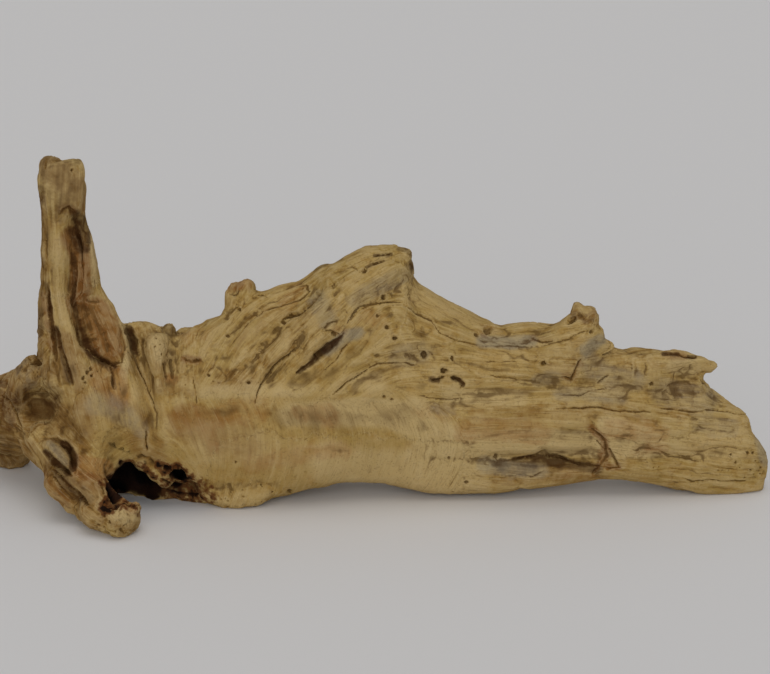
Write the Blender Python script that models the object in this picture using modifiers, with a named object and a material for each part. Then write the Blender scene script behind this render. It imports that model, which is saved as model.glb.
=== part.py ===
"""Driftwood: the root crown and butt of a small tree, washed clean, lying as it rests on a table.

A thick trunk runs left to right and thins to a broken end. At its left is the root crown, from
which one limb stands up, one root juts forward as a foot and one root runs off to the left.
A short branch stub stands near the right end. The wood forks there, so each of these is its own
solid, and all of them rest against the trunk.

Metres, +Z up. X runs along the trunk and the viewer stands on the -Y side. The origin is the
middle of the footprint, on the floor.
"""

import math
from collections import namedtuple

import bmesh
import bpy
import numpy as np
from mathutils import Matrix, Vector, noise

# Overall make of the surface
FUSE_VOXEL = 0.0033
SMOOTH_PASSES = 6
TRIANGLES = 8650
FORK_GAP = 0.0003
SPINE_STEPS = 5
RING_SIDES = 40

# Relief that runs with the grain: broad ridges, and the furrows between them
RIDGE_WIDTH = 0.024
RIDGE_HEIGHT = 0.007
FURROW_WIDTH = 0.034
FURROW_SHARE = 0.12
FURROW_DEPTH = 0.0035
GRAIN_REACH = 0.060
GRAIN_TAPS = 9
RIDGE_SEED = 1.7
FURROW_SEED = 5.3
LUMP_SIZE = 0.060
LUMP_HEIGHT = 0.005
# The belly of the front is worn smooth, and the rest of the front has its own strokes
SMOOTH_BELLY = 0.8
SMOOTH_FRONT = 0.4
BELLY_LEFT = -0.300
BELLY_RIGHT = 0.080
BELLY_TOP = 0.130
BELLY_FADE = 0.025
BELLY_LONG_FADE = 0.100
# A stroke spreads to a little more than its half width, and rises from its ends to its full depth
STROKE_SPREAD = 1.6
STROKE_END_RISE = 4
STROKE_END_SHARE = 0.35

WOOD_ROUGHNESS = 0.85
SHARP_EDGE = 50

BLEACHED = (0.36, 0.25, 0.12, 1.0)
HEARTWOOD = (0.30, 0.19, 0.085, 1.0)

# The trunk's slices: x, its top and bottom, its front and back, and how much thinner its top is
Slice = namedtuple("Slice", "x top bottom front back taper")
TRUNK = (
    Slice(-0.356, 0.104, 0.044, -0.028, 0.036, 0.10),
    Slice(-0.330, 0.126, 0.026, -0.052, 0.052, 0.15),
    Slice(-0.290, 0.148, 0.016, -0.064, 0.060, 0.20),
    Slice(-0.240, 0.154, 0.002, -0.068, 0.062, 0.28),
    Slice(-0.212, 0.158, 0.000, -0.068, 0.060, 0.34),
    Slice(-0.190, 0.170, 0.000, -0.068, 0.058, 0.38),
    Slice(-0.169, 0.179, 0.000, -0.068, 0.056, 0.42),
    Slice(-0.150, 0.189, -0.004, -0.067, 0.055, 0.43),
    Slice(-0.129, 0.201, -0.004, -0.067, 0.055, 0.43),
    Slice(-0.112, 0.211, 0.003, -0.066, 0.055, 0.42),
    Slice(-0.094, 0.216, 0.004, -0.064, 0.056, 0.41),
    Slice(-0.074, 0.221, 0.010, -0.063, 0.056, 0.42),
    Slice(-0.052, 0.239, 0.014, -0.061, 0.056, 0.44),
    Slice(-0.034, 0.245, 0.017, -0.060, 0.056, 0.46),
    Slice(-0.010, 0.255, 0.016, -0.058, 0.056, 0.48),
    Slice(0.010, 0.258, 0.014, -0.057, 0.056, 0.50),
    Slice(0.028, 0.254, 0.011, -0.056, 0.055, 0.50),
    Slice(0.040, 0.220, 0.008, -0.056, 0.055, 0.42),
    Slice(0.055, 0.211, 0.005, -0.055, 0.054, 0.40),
    Slice(0.085, 0.193, 0.003, -0.053, 0.052, 0.36),
    Slice(0.115, 0.175, 0.004, -0.051, 0.050, 0.32),
    Slice(0.145, 0.172, 0.008, -0.048, 0.048, 0.32),
    Slice(0.185, 0.175, 0.015, -0.045, 0.046, 0.32),
    Slice(0.215, 0.160, 0.020, -0.042, 0.044, 0.30),
    Slice(0.232, 0.153, 0.021, -0.041, 0.043, 0.30),
    Slice(0.267, 0.147, 0.015, -0.039, 0.042, 0.30),
    Slice(0.300, 0.141, 0.007, -0.036, 0.038, 0.30),
    Slice(0.320, 0.123, 0.002, -0.034, 0.036, 0.25),
    Slice(0.340, 0.104, -0.002, -0.032, 0.033, 0.20),
    Slice(0.359, 0.090, -0.005, -0.029, 0.030, 0.20),
    Slice(0.375, 0.077, -0.006, -0.026, 0.026, 0.15),
    Slice(0.389, 0.060, -0.005, -0.021, 0.021, 0.15),
    Slice(0.399, 0.041, -0.001, -0.015, 0.015, 0.10),
)
# An ellipse is 2, and a higher number is squarer. The underside rises towards the back.
TOP_SQUARENESS = 2.3
UNDERSIDE_SQUARENESS = 3.2
UNDERSIDE_LIFT = 0.012

# The limbs' rings: the centre, and the half width seen from the front and from the side
Ring = namedtuple("Ring", "x y z wide deep")
UPRIGHT_LIMB = (
    Ring(-0.288, -0.020, 0.070, 0.048, 0.046),
    Ring(-0.291, -0.028, 0.118, 0.041, 0.040),
    Ring(-0.296, -0.028, 0.158, 0.035, 0.034),
    Ring(-0.299, -0.027, 0.195, 0.030, 0.029),
    Ring(-0.2985, -0.024, 0.228, 0.028, 0.027),
    Ring(-0.2975, -0.021, 0.257, 0.0265, 0.025),
    Ring(-0.3005, -0.018, 0.284, 0.0225, 0.021),
    Ring(-0.3015, -0.014, 0.306, 0.0225, 0.021),
    Ring(-0.3015, -0.012, 0.326, 0.0240, 0.020),
    Ring(-0.3015, -0.010, 0.342, 0.0225, 0.017),
)
LIMB_TIP = (
    Ring(-0.308, -0.012, 0.322, 0.016, 0.015),
    Ring(-0.312, -0.012, 0.338, 0.012, 0.012),
    Ring(-0.314, -0.012, 0.348, 0.007, 0.009),
)
LIMB_BUTTRESS = (
    Ring(-0.282, -0.018, 0.255, 0.011, 0.014),
    Ring(-0.281, -0.020, 0.215, 0.014, 0.018),
    Ring(-0.268, -0.024, 0.181, 0.018, 0.021),
    Ring(-0.257, -0.030, 0.148, 0.020, 0.022),
    Ring(-0.254, -0.036, 0.112, 0.020, 0.022),
)
LIMB_HEEL = (
    Ring(-0.317, -0.018, 0.200, 0.008, 0.014),
    Ring(-0.318, -0.020, 0.162, 0.012, 0.016),
    Ring(-0.322, -0.020, 0.122, 0.018, 0.020),
)
FOOT_ROOT = (
    Ring(-0.318, -0.032, 0.076, 0.034, 0.034),
    Ring(-0.303, -0.056, 0.052, 0.028, 0.027),
    Ring(-0.280, -0.082, 0.032, 0.024, 0.023),
    Ring(-0.256, -0.106, 0.019, 0.021, 0.020),
    Ring(-0.233, -0.124, 0.015, 0.020, 0.019),
)
CROWN_FRONT = (
    Ring(-0.272, -0.020, 0.140, 0.040, 0.036),
    Ring(-0.278, -0.044, 0.098, 0.038, 0.030),
    Ring(-0.284, -0.060, 0.064, 0.028, 0.022),
    Ring(-0.280, -0.078, 0.040, 0.020, 0.018),
)
LEFT_ROOT = (
    Ring(-0.315, -0.005, 0.082, 0.050, 0.046),
    Ring(-0.348, 0.014, 0.078, 0.046, 0.042),
    Ring(-0.376, 0.030, 0.066, 0.043, 0.038),
    Ring(-0.396, 0.042, 0.055, 0.034, 0.032),
    Ring(-0.403, 0.046, 0.051, 0.025, 0.025),
)
LEFT_PROP = (
    Ring(-0.366, 0.036, 0.060, 0.034, 0.030),
    Ring(-0.377, 0.050, 0.032, 0.026, 0.024),
    Ring(-0.384, 0.058, 0.010, 0.020, 0.018),
    Ring(-0.386, 0.060, -0.004, 0.017, 0.015),
)
BELLY_FOOT = (
    Ring(-0.178, -0.042, 0.024, 0.013, 0.013),
    Ring(-0.152, -0.048, 0.014, 0.017, 0.016),
    Ring(-0.126, -0.048, 0.014, 0.017, 0.016),
    Ring(-0.100, -0.044, 0.024, 0.013, 0.012),
)
PEAK_STRAND = (
    Ring(-0.110, -0.020, 0.120, 0.046, 0.040),
    Ring(-0.055, -0.028, 0.160, 0.044, 0.032),
    Ring(-0.015, -0.022, 0.198, 0.036, 0.028),
    Ring(0.016, -0.006, 0.230, 0.026, 0.024),
    Ring(0.031, 0.004, 0.243, 0.013, 0.016),
)
CROWN_RIDGE = (
    Ring(-0.250, -0.014, 0.140, 0.028, 0.024),
    Ring(-0.235, -0.012, 0.164, 0.018, 0.017),
    Ring(-0.217, -0.012, 0.162, 0.013, 0.015),
    Ring(-0.196, -0.012, 0.150, 0.013, 0.015),
)
CROWN_KNOB = (
    Ring(-0.214, -0.026, 0.172, 0.011, 0.012),
    Ring(-0.214, -0.034, 0.158, 0.016, 0.016),
    Ring(-0.211, -0.042, 0.140, 0.013, 0.014),
    Ring(-0.208, -0.050, 0.120, 0.010, 0.012),
)
CROWN_NUB = (
    Ring(-0.203, -0.008, 0.150, 0.007, 0.007),
    Ring(-0.204, -0.008, 0.172, 0.0055, 0.0055),
    Ring(-0.204, -0.008, 0.179, 0.0045, 0.0045),
)
CROWN_DOME = (
    Ring(-0.340, -0.012, 0.086, 0.036, 0.034),
    Ring(-0.341, -0.018, 0.112, 0.028, 0.028),
    Ring(-0.338, -0.018, 0.136, 0.017, 0.019),
)
KNOT_CURL = (
    Ring(-0.318, -0.040, 0.080, 0.018, 0.018),
    Ring(-0.312, -0.064, 0.068, 0.016, 0.014),
    Ring(-0.305, -0.080, 0.058, 0.013, 0.011),
)
TOP_STUB = (
    Ring(-0.128, 0.000, 0.186, 0.024, 0.018),
    Ring(-0.134, 0.001, 0.205, 0.019, 0.014),
    Ring(-0.132, 0.002, 0.216, 0.013, 0.010),
)
BRANCH_STUB = (
    Ring(0.180, -0.010, 0.135, 0.042, 0.030),
    Ring(0.196, -0.014, 0.160, 0.029, 0.024),
    Ring(0.206, -0.015, 0.180, 0.018, 0.017),
    Ring(0.209, -0.015, 0.196, 0.014, 0.013),
)
BEAK = (
    Ring(0.262, -0.004, 0.118, 0.030, 0.028),
    Ring(0.300, -0.004, 0.129, 0.018, 0.018),
    Ring(0.325, -0.004, 0.132, 0.011, 0.011),
    Ring(0.342, -0.004, 0.128, 0.005, 0.006),
)
LIMBS = (
    UPRIGHT_LIMB,
    LIMB_TIP,
    LIMB_BUTTRESS,
    LIMB_HEEL,
    FOOT_ROOT,
    CROWN_FRONT,
    LEFT_ROOT,
    LEFT_PROP,
    BELLY_FOOT,
    PEAK_STRAND,
    CROWN_RIDGE,
    CROWN_KNOB,
    CROWN_NUB,
    CROWN_DOME,
    KNOT_CURL,
    TOP_STUB,
    BRANCH_STUB,
    BEAK,
)

# Lines that the grain follows, besides the limbs' own
GRAIN_LINES = (
    ((-0.250, -0.060, 0.060), (-0.100, -0.060, 0.060), (0.100, -0.050, 0.058), (0.390, -0.020, 0.040)),
    ((-0.200, -0.060, 0.118), (-0.050, -0.060, 0.122), (0.050, -0.055, 0.115), (0.350, -0.030, 0.085)),
    ((-0.190, -0.040, 0.145), (-0.150, -0.030, 0.168), (-0.090, -0.020, 0.204)),
    ((-0.112, -0.048, 0.130), (-0.076, -0.044, 0.165), (-0.050, -0.036, 0.220)),
    ((-0.080, -0.046, 0.132), (-0.030, -0.040, 0.178), (0.020, -0.020, 0.236)),
    ((0.034, -0.034, 0.212), (0.085, -0.038, 0.176), (0.160, -0.038, 0.160), (0.300, -0.028, 0.132)),
    ((-0.250, 0.060, 0.070), (-0.050, 0.056, 0.072), (0.150, 0.046, 0.070), (0.390, 0.018, 0.040)),
    ((-0.230, 0.050, 0.130), (-0.120, 0.044, 0.150), (-0.050, 0.036, 0.196), (0.020, 0.024, 0.232)),
    ((-0.100, 0.052, 0.110), (0.060, 0.046, 0.140), (0.180, 0.040, 0.130), (0.320, 0.030, 0.110)),
)
GRAIN_SPREAD = 0.012

# Carved strokes on the front: half width, depth (negative stands proud), then x and z of its points
Stroke = namedtuple("Stroke", "width depth points")
FRONT_STROKES = {
    "limb groove": Stroke(
        0.011,
        0.012,
        ((-0.290, 0.295), (-0.285, 0.270), (-0.290, 0.240), (-0.290, 0.210)),
    ),
    "limb left groove": Stroke(
        0.006,
        0.004,
        ((-0.315, 0.295), (-0.315, 0.250), (-0.310, 0.200), (-0.310, 0.160), (-0.305, 0.125)),
    ),
    "crown scoop": Stroke(
        0.020,
        0.014,
        ((-0.280, 0.215), (-0.265, 0.185), (-0.255, 0.160), (-0.250, 0.140)),
    ),
    "crown ridge": Stroke(
        0.013,
        -0.006,
        ((-0.295, 0.215), (-0.285, 0.175), (-0.280, 0.135), (-0.280, 0.090)),
    ),
    "knob cleft": Stroke(
        0.008,
        0.010,
        ((-0.240, 0.185), (-0.235, 0.160), (-0.225, 0.125), (-0.220, 0.105), (-0.215, 0.080)),
    ),
    "cleft lip": Stroke(
        0.010,
        -0.005,
        ((-0.245, 0.190), (-0.240, 0.165), (-0.235, 0.130), (-0.230, 0.100)),
    ),
    "flute one": Stroke(0.007, 0.007, ((-0.195, 0.165), (-0.200, 0.140), (-0.200, 0.125))),
    "ledge": Stroke(
        0.015,
        -0.006,
        ((-0.210, 0.115), (-0.170, 0.125), (-0.110, 0.130), (-0.055, 0.125), (0.035, 0.115)),
    ),
    "above the ledge": Stroke(
        0.013,
        0.005,
        ((-0.185, 0.140), (-0.140, 0.145), (-0.110, 0.140), (-0.075, 0.135), (-0.025, 0.130)),
    ),
    "belly bulge": Stroke(
        0.030,
        -0.006,
        ((-0.190, 0.075), (-0.130, 0.070), (-0.075, 0.065), (-0.025, 0.060)),
    ),
    "furrow a": Stroke(
        0.008,
        0.007,
        ((-0.120, 0.150), (-0.115, 0.165), (-0.100, 0.180), (-0.070, 0.210), (-0.050, 0.230)),
    ),
    "furrow b": Stroke(
        0.008,
        0.008,
        ((-0.110, 0.125), (-0.100, 0.140), (-0.075, 0.160), (-0.070, 0.185)),
    ),
    "furrow c": Stroke(0.009, 0.009, ((-0.080, 0.135), (-0.055, 0.155), (-0.030, 0.180))),
    "furrow d": Stroke(0.008, 0.006, ((-0.050, 0.140), (-0.030, 0.160), (-0.015, 0.170))),
    "left furrow": Stroke(
        0.008,
        0.005,
        ((-0.150, 0.160), (-0.135, 0.185), (-0.110, 0.200), (-0.085, 0.210)),
    ),
    "peak shoulder": Stroke(
        0.018,
        -0.006,
        ((-0.075, 0.180), (-0.045, 0.210), (-0.005, 0.240), (0.025, 0.245)),
    ),
    "grey hollow": Stroke(0.014, 0.005, ((-0.020, 0.210), (0.005, 0.220), (0.030, 0.230))),
    "shoulder fold": Stroke(
        0.009,
        0.006,
        ((-0.030, 0.120), (-0.005, 0.140), (0.020, 0.150), (0.055, 0.155)),
    ),
    "mid ridge": Stroke(0.016, -0.004, ((0.045, 0.175), (0.100, 0.165), (0.160, 0.160), (0.210, 0.170))),
    "mid furrow": Stroke(
        0.010,
        0.006,
        ((0.055, 0.110), (0.125, 0.120), (0.180, 0.125), (0.260, 0.115), (0.340, 0.100)),
    ),
    "low ridge": Stroke(0.016, -0.005, ((0.065, 0.080), (0.145, 0.085), (0.220, 0.085), (0.300, 0.080))),
    "lower undercut": Stroke(
        0.011,
        0.011,
        ((0.105, 0.045), (0.145, 0.045), (0.185, 0.045), (0.230, 0.045)),
    ),
    "end hollow": Stroke(0.016, 0.013, ((0.295, 0.120), (0.310, 0.125), (0.325, 0.125))),
    "end furrow": Stroke(0.008, 0.005, ((0.265, 0.045), (0.315, 0.045), (0.365, 0.050))),
    "left recess": Stroke(0.022, 0.018, ((-0.350, 0.100), (-0.330, 0.100), (-0.315, 0.095))),
    "foot groove": Stroke(
        0.007,
        0.009,
        ((-0.320, 0.065), (-0.305, 0.055), (-0.290, 0.035), (-0.275, 0.020)),
    ),
    "knot curl": Stroke(0.012, -0.009, ((-0.315, 0.075), (-0.300, 0.065), (-0.300, 0.050))),
}
BACK_STROKES = {
    "limb back groove": Stroke(
        0.012,
        0.008,
        ((-0.304, 0.310), (-0.302, 0.240), (-0.296, 0.170), (-0.280, 0.120)),
    ),
    "crown back scoop": Stroke(0.026, 0.012, ((-0.240, 0.120), (-0.190, 0.100), (-0.130, 0.095))),
    "back shoulder": Stroke(
        0.020,
        -0.006,
        ((-0.220, 0.150), (-0.130, 0.160), (-0.030, 0.190), (0.030, 0.215)),
    ),
    "back long furrow": Stroke(
        0.013,
        0.009,
        ((-0.110, 0.150), (-0.020, 0.160), (0.080, 0.140), (0.170, 0.120)),
    ),
    "back low furrow": Stroke(
        0.014,
        0.008,
        ((-0.070, 0.066), (0.040, 0.074), (0.160, 0.066), (0.270, 0.070)),
    ),
    "back ridge": Stroke(
        0.018,
        -0.006,
        ((-0.020, 0.112), (0.090, 0.108), (0.200, 0.094), (0.320, 0.080)),
    ),
    "back knot": Stroke(0.020, 0.010, ((0.232, 0.118), (0.244, 0.114))),
}

# The rotted hollow under the crown, and the pockets beside it: centre, half sizes, slope to the front
Pocket = namedtuple("Pocket", "centre half slope")
HOLLOWS = (
    Pocket((-0.238, -0.058, 0.029), (0.032, 0.042, 0.034), 15),
    Pocket((-0.205, -0.068, 0.010), (0.034, 0.034, 0.026), 10),
    Pocket((-0.194, -0.056, 0.036), (0.010, 0.022, 0.009), 10),
)
HOLLOW_ROUGHNESS = 0.008
HOLLOW_GRAIN = 55

# Where each limb leaves the trunk: a point on the cut, the way the limb heads, its reach and half widths
Fork = namedtuple("Fork", "node at heading reach wide deep colour")
FORKS = (
    Fork("upright_limb", (-0.292, -0.025, 0.166), (-0.26, 0.00, 0.96), 0.24, 0.075, 0.080, BLEACHED),
    Fork("foot_root", (-0.290, -0.072, 0.042), (0.62, -0.70, -0.36), 0.12, 0.044, 0.040, BLEACHED),
    Fork("left_root", (-0.362, 0.022, 0.066), (-0.86, 0.48, -0.10), 0.12, 0.075, 0.090, HEARTWOOD),
    Fork("branch_stub", (0.196, -0.014, 0.168), (0.26, 0.00, 0.96), 0.07, 0.042, 0.050, BLEACHED),
)
FLOOR_DEPTH = 0.05


def clear_scene():
    for obj in list(bpy.data.objects):
        bpy.data.objects.remove(obj)


def new_collection(name):
    collection = bpy.data.collections.new(name)
    bpy.context.scene.collection.children.link(collection)
    return collection


def wood_material(name, colour):
    material = bpy.data.materials.new(name)
    material.use_nodes = True
    shader = material.node_tree.nodes["Principled BSDF"]
    shader.inputs["Base Color"].default_value = colour
    shader.inputs["Roughness"].default_value = WOOD_ROUGHNESS
    shader.inputs["Metallic"].default_value = 0.0
    return material


def smooth_rows(rows, steps):
    """Rows of numbers with more rows between them, along a smooth curve through each one."""
    rows = np.array(rows, float)
    padded = np.vstack([2 * rows[0] - rows[1], rows, 2 * rows[-1] - rows[-2]])
    made = []
    for a, b, c, d in zip(padded, padded[1:], padded[2:], padded[3:]):
        for step in range(steps):
            t = step / steps
            made.append(b + 0.5 * t * (c - a + t * (2 * a - 5 * b + 4 * c - d + t * (3 * (b - c) + d - a))))
    made.append(rows[-1])
    return np.array(made)


def trunk_rings():
    """The trunk's outline at each slice: an egg shape, squarer than an ellipse and thinner at its top."""
    angles = np.linspace(0, 2 * math.pi, RING_SIDES, endpoint=False)
    square = 2 / np.where(np.sin(angles) > 0, TOP_SQUARENESS, UNDERSIDE_SQUARENESS)
    across = np.sign(np.cos(angles)) * np.abs(np.cos(angles)) ** square
    upward = np.sign(np.sin(angles)) * np.abs(np.sin(angles)) ** square
    lift = UNDERSIDE_LIFT * np.clip(-upward, 0, 1) * across
    rings = []
    for x, top, bottom, front, back, taper in smooth_rows(TRUNK, SPINE_STEPS):
        thin = 1 - taper * np.clip(upward, 0, 1) ** 1.5
        y = (front + back) / 2 + (back - front) / 2 * across * thin
        z = (top + bottom) / 2 + (top - bottom) / 2 * upward + lift
        rings.append(np.column_stack([np.full(RING_SIDES, x), y, z]))
    return rings


def limb_rings(limb):
    """Ellipses square to the limb's own line, one at each step along it."""
    rows = smooth_rows(limb, SPINE_STEPS)
    angles = np.linspace(0, 2 * math.pi, RING_SIDES, endpoint=False)
    rings = []
    for index, (x, y, z, wide, deep) in enumerate(rows):
        before, after = rows[max(index - 1, 0)], rows[min(index + 1, len(rows) - 1)]
        along = Vector(after[:3] - before[:3]).normalized()
        sideways = along.cross(Vector((0, 1, 0))).normalized()
        outwards = sideways.cross(along)
        spread = np.outer(np.cos(angles) * wide, sideways) + np.outer(np.sin(angles) * deep, outwards)
        rings.append(np.array((x, y, z)) + spread)
    return rings


def add_loft(bm, rings):
    """Skins the rings in order and closes both ends."""
    loops = [[bm.verts.new(point) for point in ring] for ring in rings]
    faces = [bm.faces.new(loops[0]), bm.faces.new(loops[-1])]
    for near, far in zip(loops, loops[1:]):
        for side in range(RING_SIDES):
            after = (side + 1) % RING_SIDES
            faces.append(bm.faces.new((near[side], near[after], far[after], far[side])))
    bmesh.ops.recalc_face_normals(bm, faces=faces)


def mesh_object(name, bm, collection):
    mesh = bpy.data.meshes.new(name)
    bm.to_mesh(mesh)
    bm.free()
    obj = bpy.data.objects.new(name, mesh)
    collection.objects.link(obj)
    return obj


def apply_modifiers(obj):
    """Keeps the object's evaluated shape as its own mesh, with no modifiers left."""
    graph = bpy.context.evaluated_depsgraph_get()
    mesh = bpy.data.meshes.new_from_object(obj.evaluated_get(graph))
    obj.modifiers.clear()
    obj.data = mesh


def fused_body(collection):
    """Every limb and the trunk, grown together into one skin."""
    bm = bmesh.new()
    add_loft(bm, trunk_rings())
    for limb in LIMBS:
        add_loft(bm, limb_rings(limb))
    body = mesh_object("trunk", bm, collection)
    fuse = body.modifiers.new("fuse", "REMESH")
    fuse.mode = "VOXEL"
    fuse.voxel_size = FUSE_VOXEL
    soften = body.modifiers.new("soften", "SMOOTH")
    soften.factor = 0.5
    soften.iterations = SMOOTH_PASSES
    apply_modifiers(body)
    return body


def read_surface(obj):
    count = len(obj.data.vertices)
    points, normals = np.empty(count * 3), np.empty(count * 3)
    obj.data.vertices.foreach_get("co", points)
    obj.data.vertices.foreach_get("normal", normals)
    return points.reshape(-1, 3), normals.reshape(-1, 3)


def write_points(obj, points):
    obj.data.vertices.foreach_set("co", points.ravel())
    obj.data.update()


def reach_of(flat, line):
    """How far each flat point lies from the line, and how far along it, from 0 to 1, it comes nearest."""
    line = np.array(line)
    lengths = np.linalg.norm(np.diff(line, axis=0), axis=1)
    starts = np.concatenate([[0], np.cumsum(lengths)])
    nearest = np.full(len(flat), np.inf)
    along = np.zeros(len(flat))
    for start, end, length, begun in zip(line, line[1:], lengths, starts):
        t = np.clip((flat - start) @ (end - start) / length**2, 0, 1)
        gap = np.linalg.norm(flat - start - t[:, None] * (end - start), axis=1)
        closer = gap < nearest
        nearest[closer] = gap[closer]
        along[closer] = (begun + t[closer] * length) / starts[-1]
    return nearest, along


def carve_strokes(points, normals, strokes, facing):
    """How far each point sinks under the strokes of one side. A stroke runs out gently at both ends."""
    sunk = np.zeros(len(points))
    side = np.clip(facing * normals[:, 1], 0, 1) ** 0.5
    for stroke in strokes.values():
        gap, along = reach_of(points[:, [0, 2]], stroke.points)
        near = np.clip(1 - gap / (STROKE_SPREAD * stroke.width), 0, 1)
        runs_out = np.clip(STROKE_END_RISE * np.minimum(along, 1 - along) + STROKE_END_SHARE, 0, 1)
        sunk += stroke.depth * near * near * (3 - 2 * near) * runs_out * side
    return sunk


def grain_directions(points):
    """The way the grain runs at each point: a blend of the nearest lines, whichever end they start from."""
    lines = [np.array(line) for line in GRAIN_LINES]
    lines += [np.array([ring[:3] for ring in limb]) for limb in LIMBS]
    spread = np.zeros((len(points), 3, 3))
    for line in lines:
        for start, end in zip(line, line[1:]):
            step = end - start
            length = np.linalg.norm(step)
            t = np.clip((points - start) @ step / length**2, 0, 1)
            gap = np.linalg.norm(points - start - t[:, None] * step, axis=1)
            share = 1 / (gap**2 + GRAIN_SPREAD**2) ** 2
            spread += share[:, None, None] * np.outer(step / length, step / length)
    return np.linalg.eigh(spread)[1][:, :, 2]


def grain_noise(points, along, width, seed):
    """Noise drawn out along the grain, about 0 and up to 1 either way."""
    taps = np.linspace(-GRAIN_REACH, GRAIN_REACH, GRAIN_TAPS)
    shift = Vector((seed, 2 * seed, 3 * seed))
    total = np.zeros(len(points))
    for tap in taps:
        total += [noise.noise(Vector(point) / width + shift) for point in points + tap * along]
    return total / np.abs(total).max()


def grain_relief(points, normals):
    """How far each point stands proud: ridges and furrows along the grain, over slow lumps."""
    along = grain_directions(points)
    ridges = RIDGE_HEIGHT / 2 * grain_noise(points, along, RIDGE_WIDTH, RIDGE_SEED)
    furrows = np.abs(grain_noise(points, along, FURROW_WIDTH, FURROW_SEED))
    ridges -= FURROW_DEPTH * np.clip(1 - furrows / FURROW_SHARE, 0, 1)
    lumps = LUMP_HEIGHT / 2 * np.array([noise.noise(Vector(point) / LUMP_SIZE) for point in points])
    belly = np.clip((BELLY_TOP - points[:, 2]) / BELLY_FADE, 0, 1)
    belly *= np.clip((points[:, 0] - BELLY_LEFT) / BELLY_FADE, 0, 1)
    belly *= np.clip((BELLY_RIGHT - points[:, 0]) / BELLY_LONG_FADE, 0, 1)
    belly *= np.clip(-2 * normals[:, 1], 0, 1)
    front = np.clip(-1.5 * normals[:, 1], 0, 1)
    return ridges * (1 - SMOOTH_BELLY * belly) * (1 - SMOOTH_FRONT * front) + lumps


def sculpt(body):
    points, normals = read_surface(body)
    sunk = carve_strokes(points, normals, FRONT_STROKES, -1)
    sunk += carve_strokes(points, normals, BACK_STROKES, 1)
    sunk -= grain_relief(points, normals)
    write_points(body, points - normals * sunk[:, None])


def hollow_cutter(index, pocket, collection):
    """A rough, lumpy ball, as rot leaves it."""
    bm = bmesh.new()
    bmesh.ops.create_icosphere(bm, subdivisions=5, radius=1)
    turn = Matrix.Rotation(math.radians(-pocket.slope), 3, "X")
    for vert in bm.verts:
        unit = vert.co.copy()
        place = Vector(pocket.centre) + turn @ (unit * Vector(pocket.half))
        vert.co = place + turn @ unit * HOLLOW_ROUGHNESS * noise.noise(place * HOLLOW_GRAIN)
    cutter = mesh_object(f"hollow_cutter_{index}", bm, collection)
    hide_helper(cutter)
    return cutter


def block(name, collection, matrix, low, high):
    """A box from its low to its high corner in the frame that the matrix gives."""
    bm = bmesh.new()
    bmesh.ops.create_cube(bm, size=1)
    size = Vector(high) - Vector(low)
    middle = (Vector(high) + Vector(low)) / 2
    bm.transform(matrix @ Matrix.Translation(middle) @ Matrix.Diagonal((*size, 1)))
    made = mesh_object(name, bm, collection)
    hide_helper(made)
    return made


def hide_helper(obj):
    obj.hide_render = True
    obj.display_type = "WIRE"


def fork_block(fork, collection, shrink):
    """The space that a limb fills beyond its fork, less a little all round when it keeps the limb."""
    along = Vector(fork.heading).normalized()
    sideways = along.cross(Vector((0, 1, 0))).normalized()
    outwards = along.cross(sideways)
    turn = Matrix((sideways, outwards, along)).transposed().to_4x4()
    matrix = Matrix.Translation(fork.at) @ turn
    low = (shrink - fork.wide, shrink - fork.deep, shrink)
    high = (fork.wide - shrink, fork.deep - shrink, fork.reach - shrink)
    kind = "limb" if shrink else "trunk"
    return block(f"{fork.node}_{kind}_cutter", collection, matrix, low, high)


def cut(obj, cutter, operation):
    modifier = obj.modifiers.new(f"{operation} {cutter.name}".lower(), "BOOLEAN")
    modifier.operation = operation
    modifier.object = cutter


def thin_out(obj, triangles):
    """Fewer and larger faces, with the small ones kept where the form turns."""
    obj.data.calc_loop_triangles()
    thin = obj.modifiers.new("thin out", "DECIMATE")
    thin.ratio = triangles / len(obj.data.loop_triangles)
    apply_modifiers(obj)


def drop_crumbs(obj):
    """Leaves only the largest of the mesh's separate bodies, where a cut has freed a crumb."""
    bm = bmesh.new()
    bm.from_mesh(obj.data)
    unseen = set(bm.verts)
    bodies = []
    while unseen:
        reached = [unseen.pop()]
        for vert in reached:
            for edge in vert.link_edges:
                other = edge.other_vert(vert)
                if other in unseen:
                    unseen.discard(other)
                    reached.append(other)
        bodies.append(reached)
    bodies.sort(key=len)
    for crumb in bodies[:-1]:
        bmesh.ops.delete(bm, geom=crumb, context="VERTS")
    bm.to_mesh(obj.data)
    bm.free()


def separate_forks(body, parts, helpers):
    """The limbs as solids of their own, and the trunk without them."""
    pieces = [body]
    for fork in FORKS:
        limb = bpy.data.objects.new(fork.node, body.data.copy())
        parts.objects.link(limb)
        cut(limb, fork_block(fork, helpers, FORK_GAP), "INTERSECT")
        cut(body, fork_block(fork, helpers, 0), "DIFFERENCE")
        pieces.append(limb)
    for piece in pieces:
        apply_modifiers(piece)
        drop_crumbs(piece)
    return pieces


def finish_solid(obj, colour):
    obj.data.materials.clear()
    obj.data.materials.append(wood_material(f"{obj.name} wood", colour))
    obj.data.shade_smooth()
    obj.data.set_sharp_from_angle(angle=math.radians(SHARP_EDGE))


def set_on_origin(pieces, helpers):
    """Puts the middle of the footprint at the origin. The floor is already at zero."""
    points = np.vstack([read_surface(piece)[0] for piece in pieces])
    middle = (points.min(axis=0) + points.max(axis=0)) / 2
    for obj in (*pieces, *helpers.objects):
        obj.data.transform(Matrix.Translation((-middle[0], -middle[1], 0)))


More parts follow.
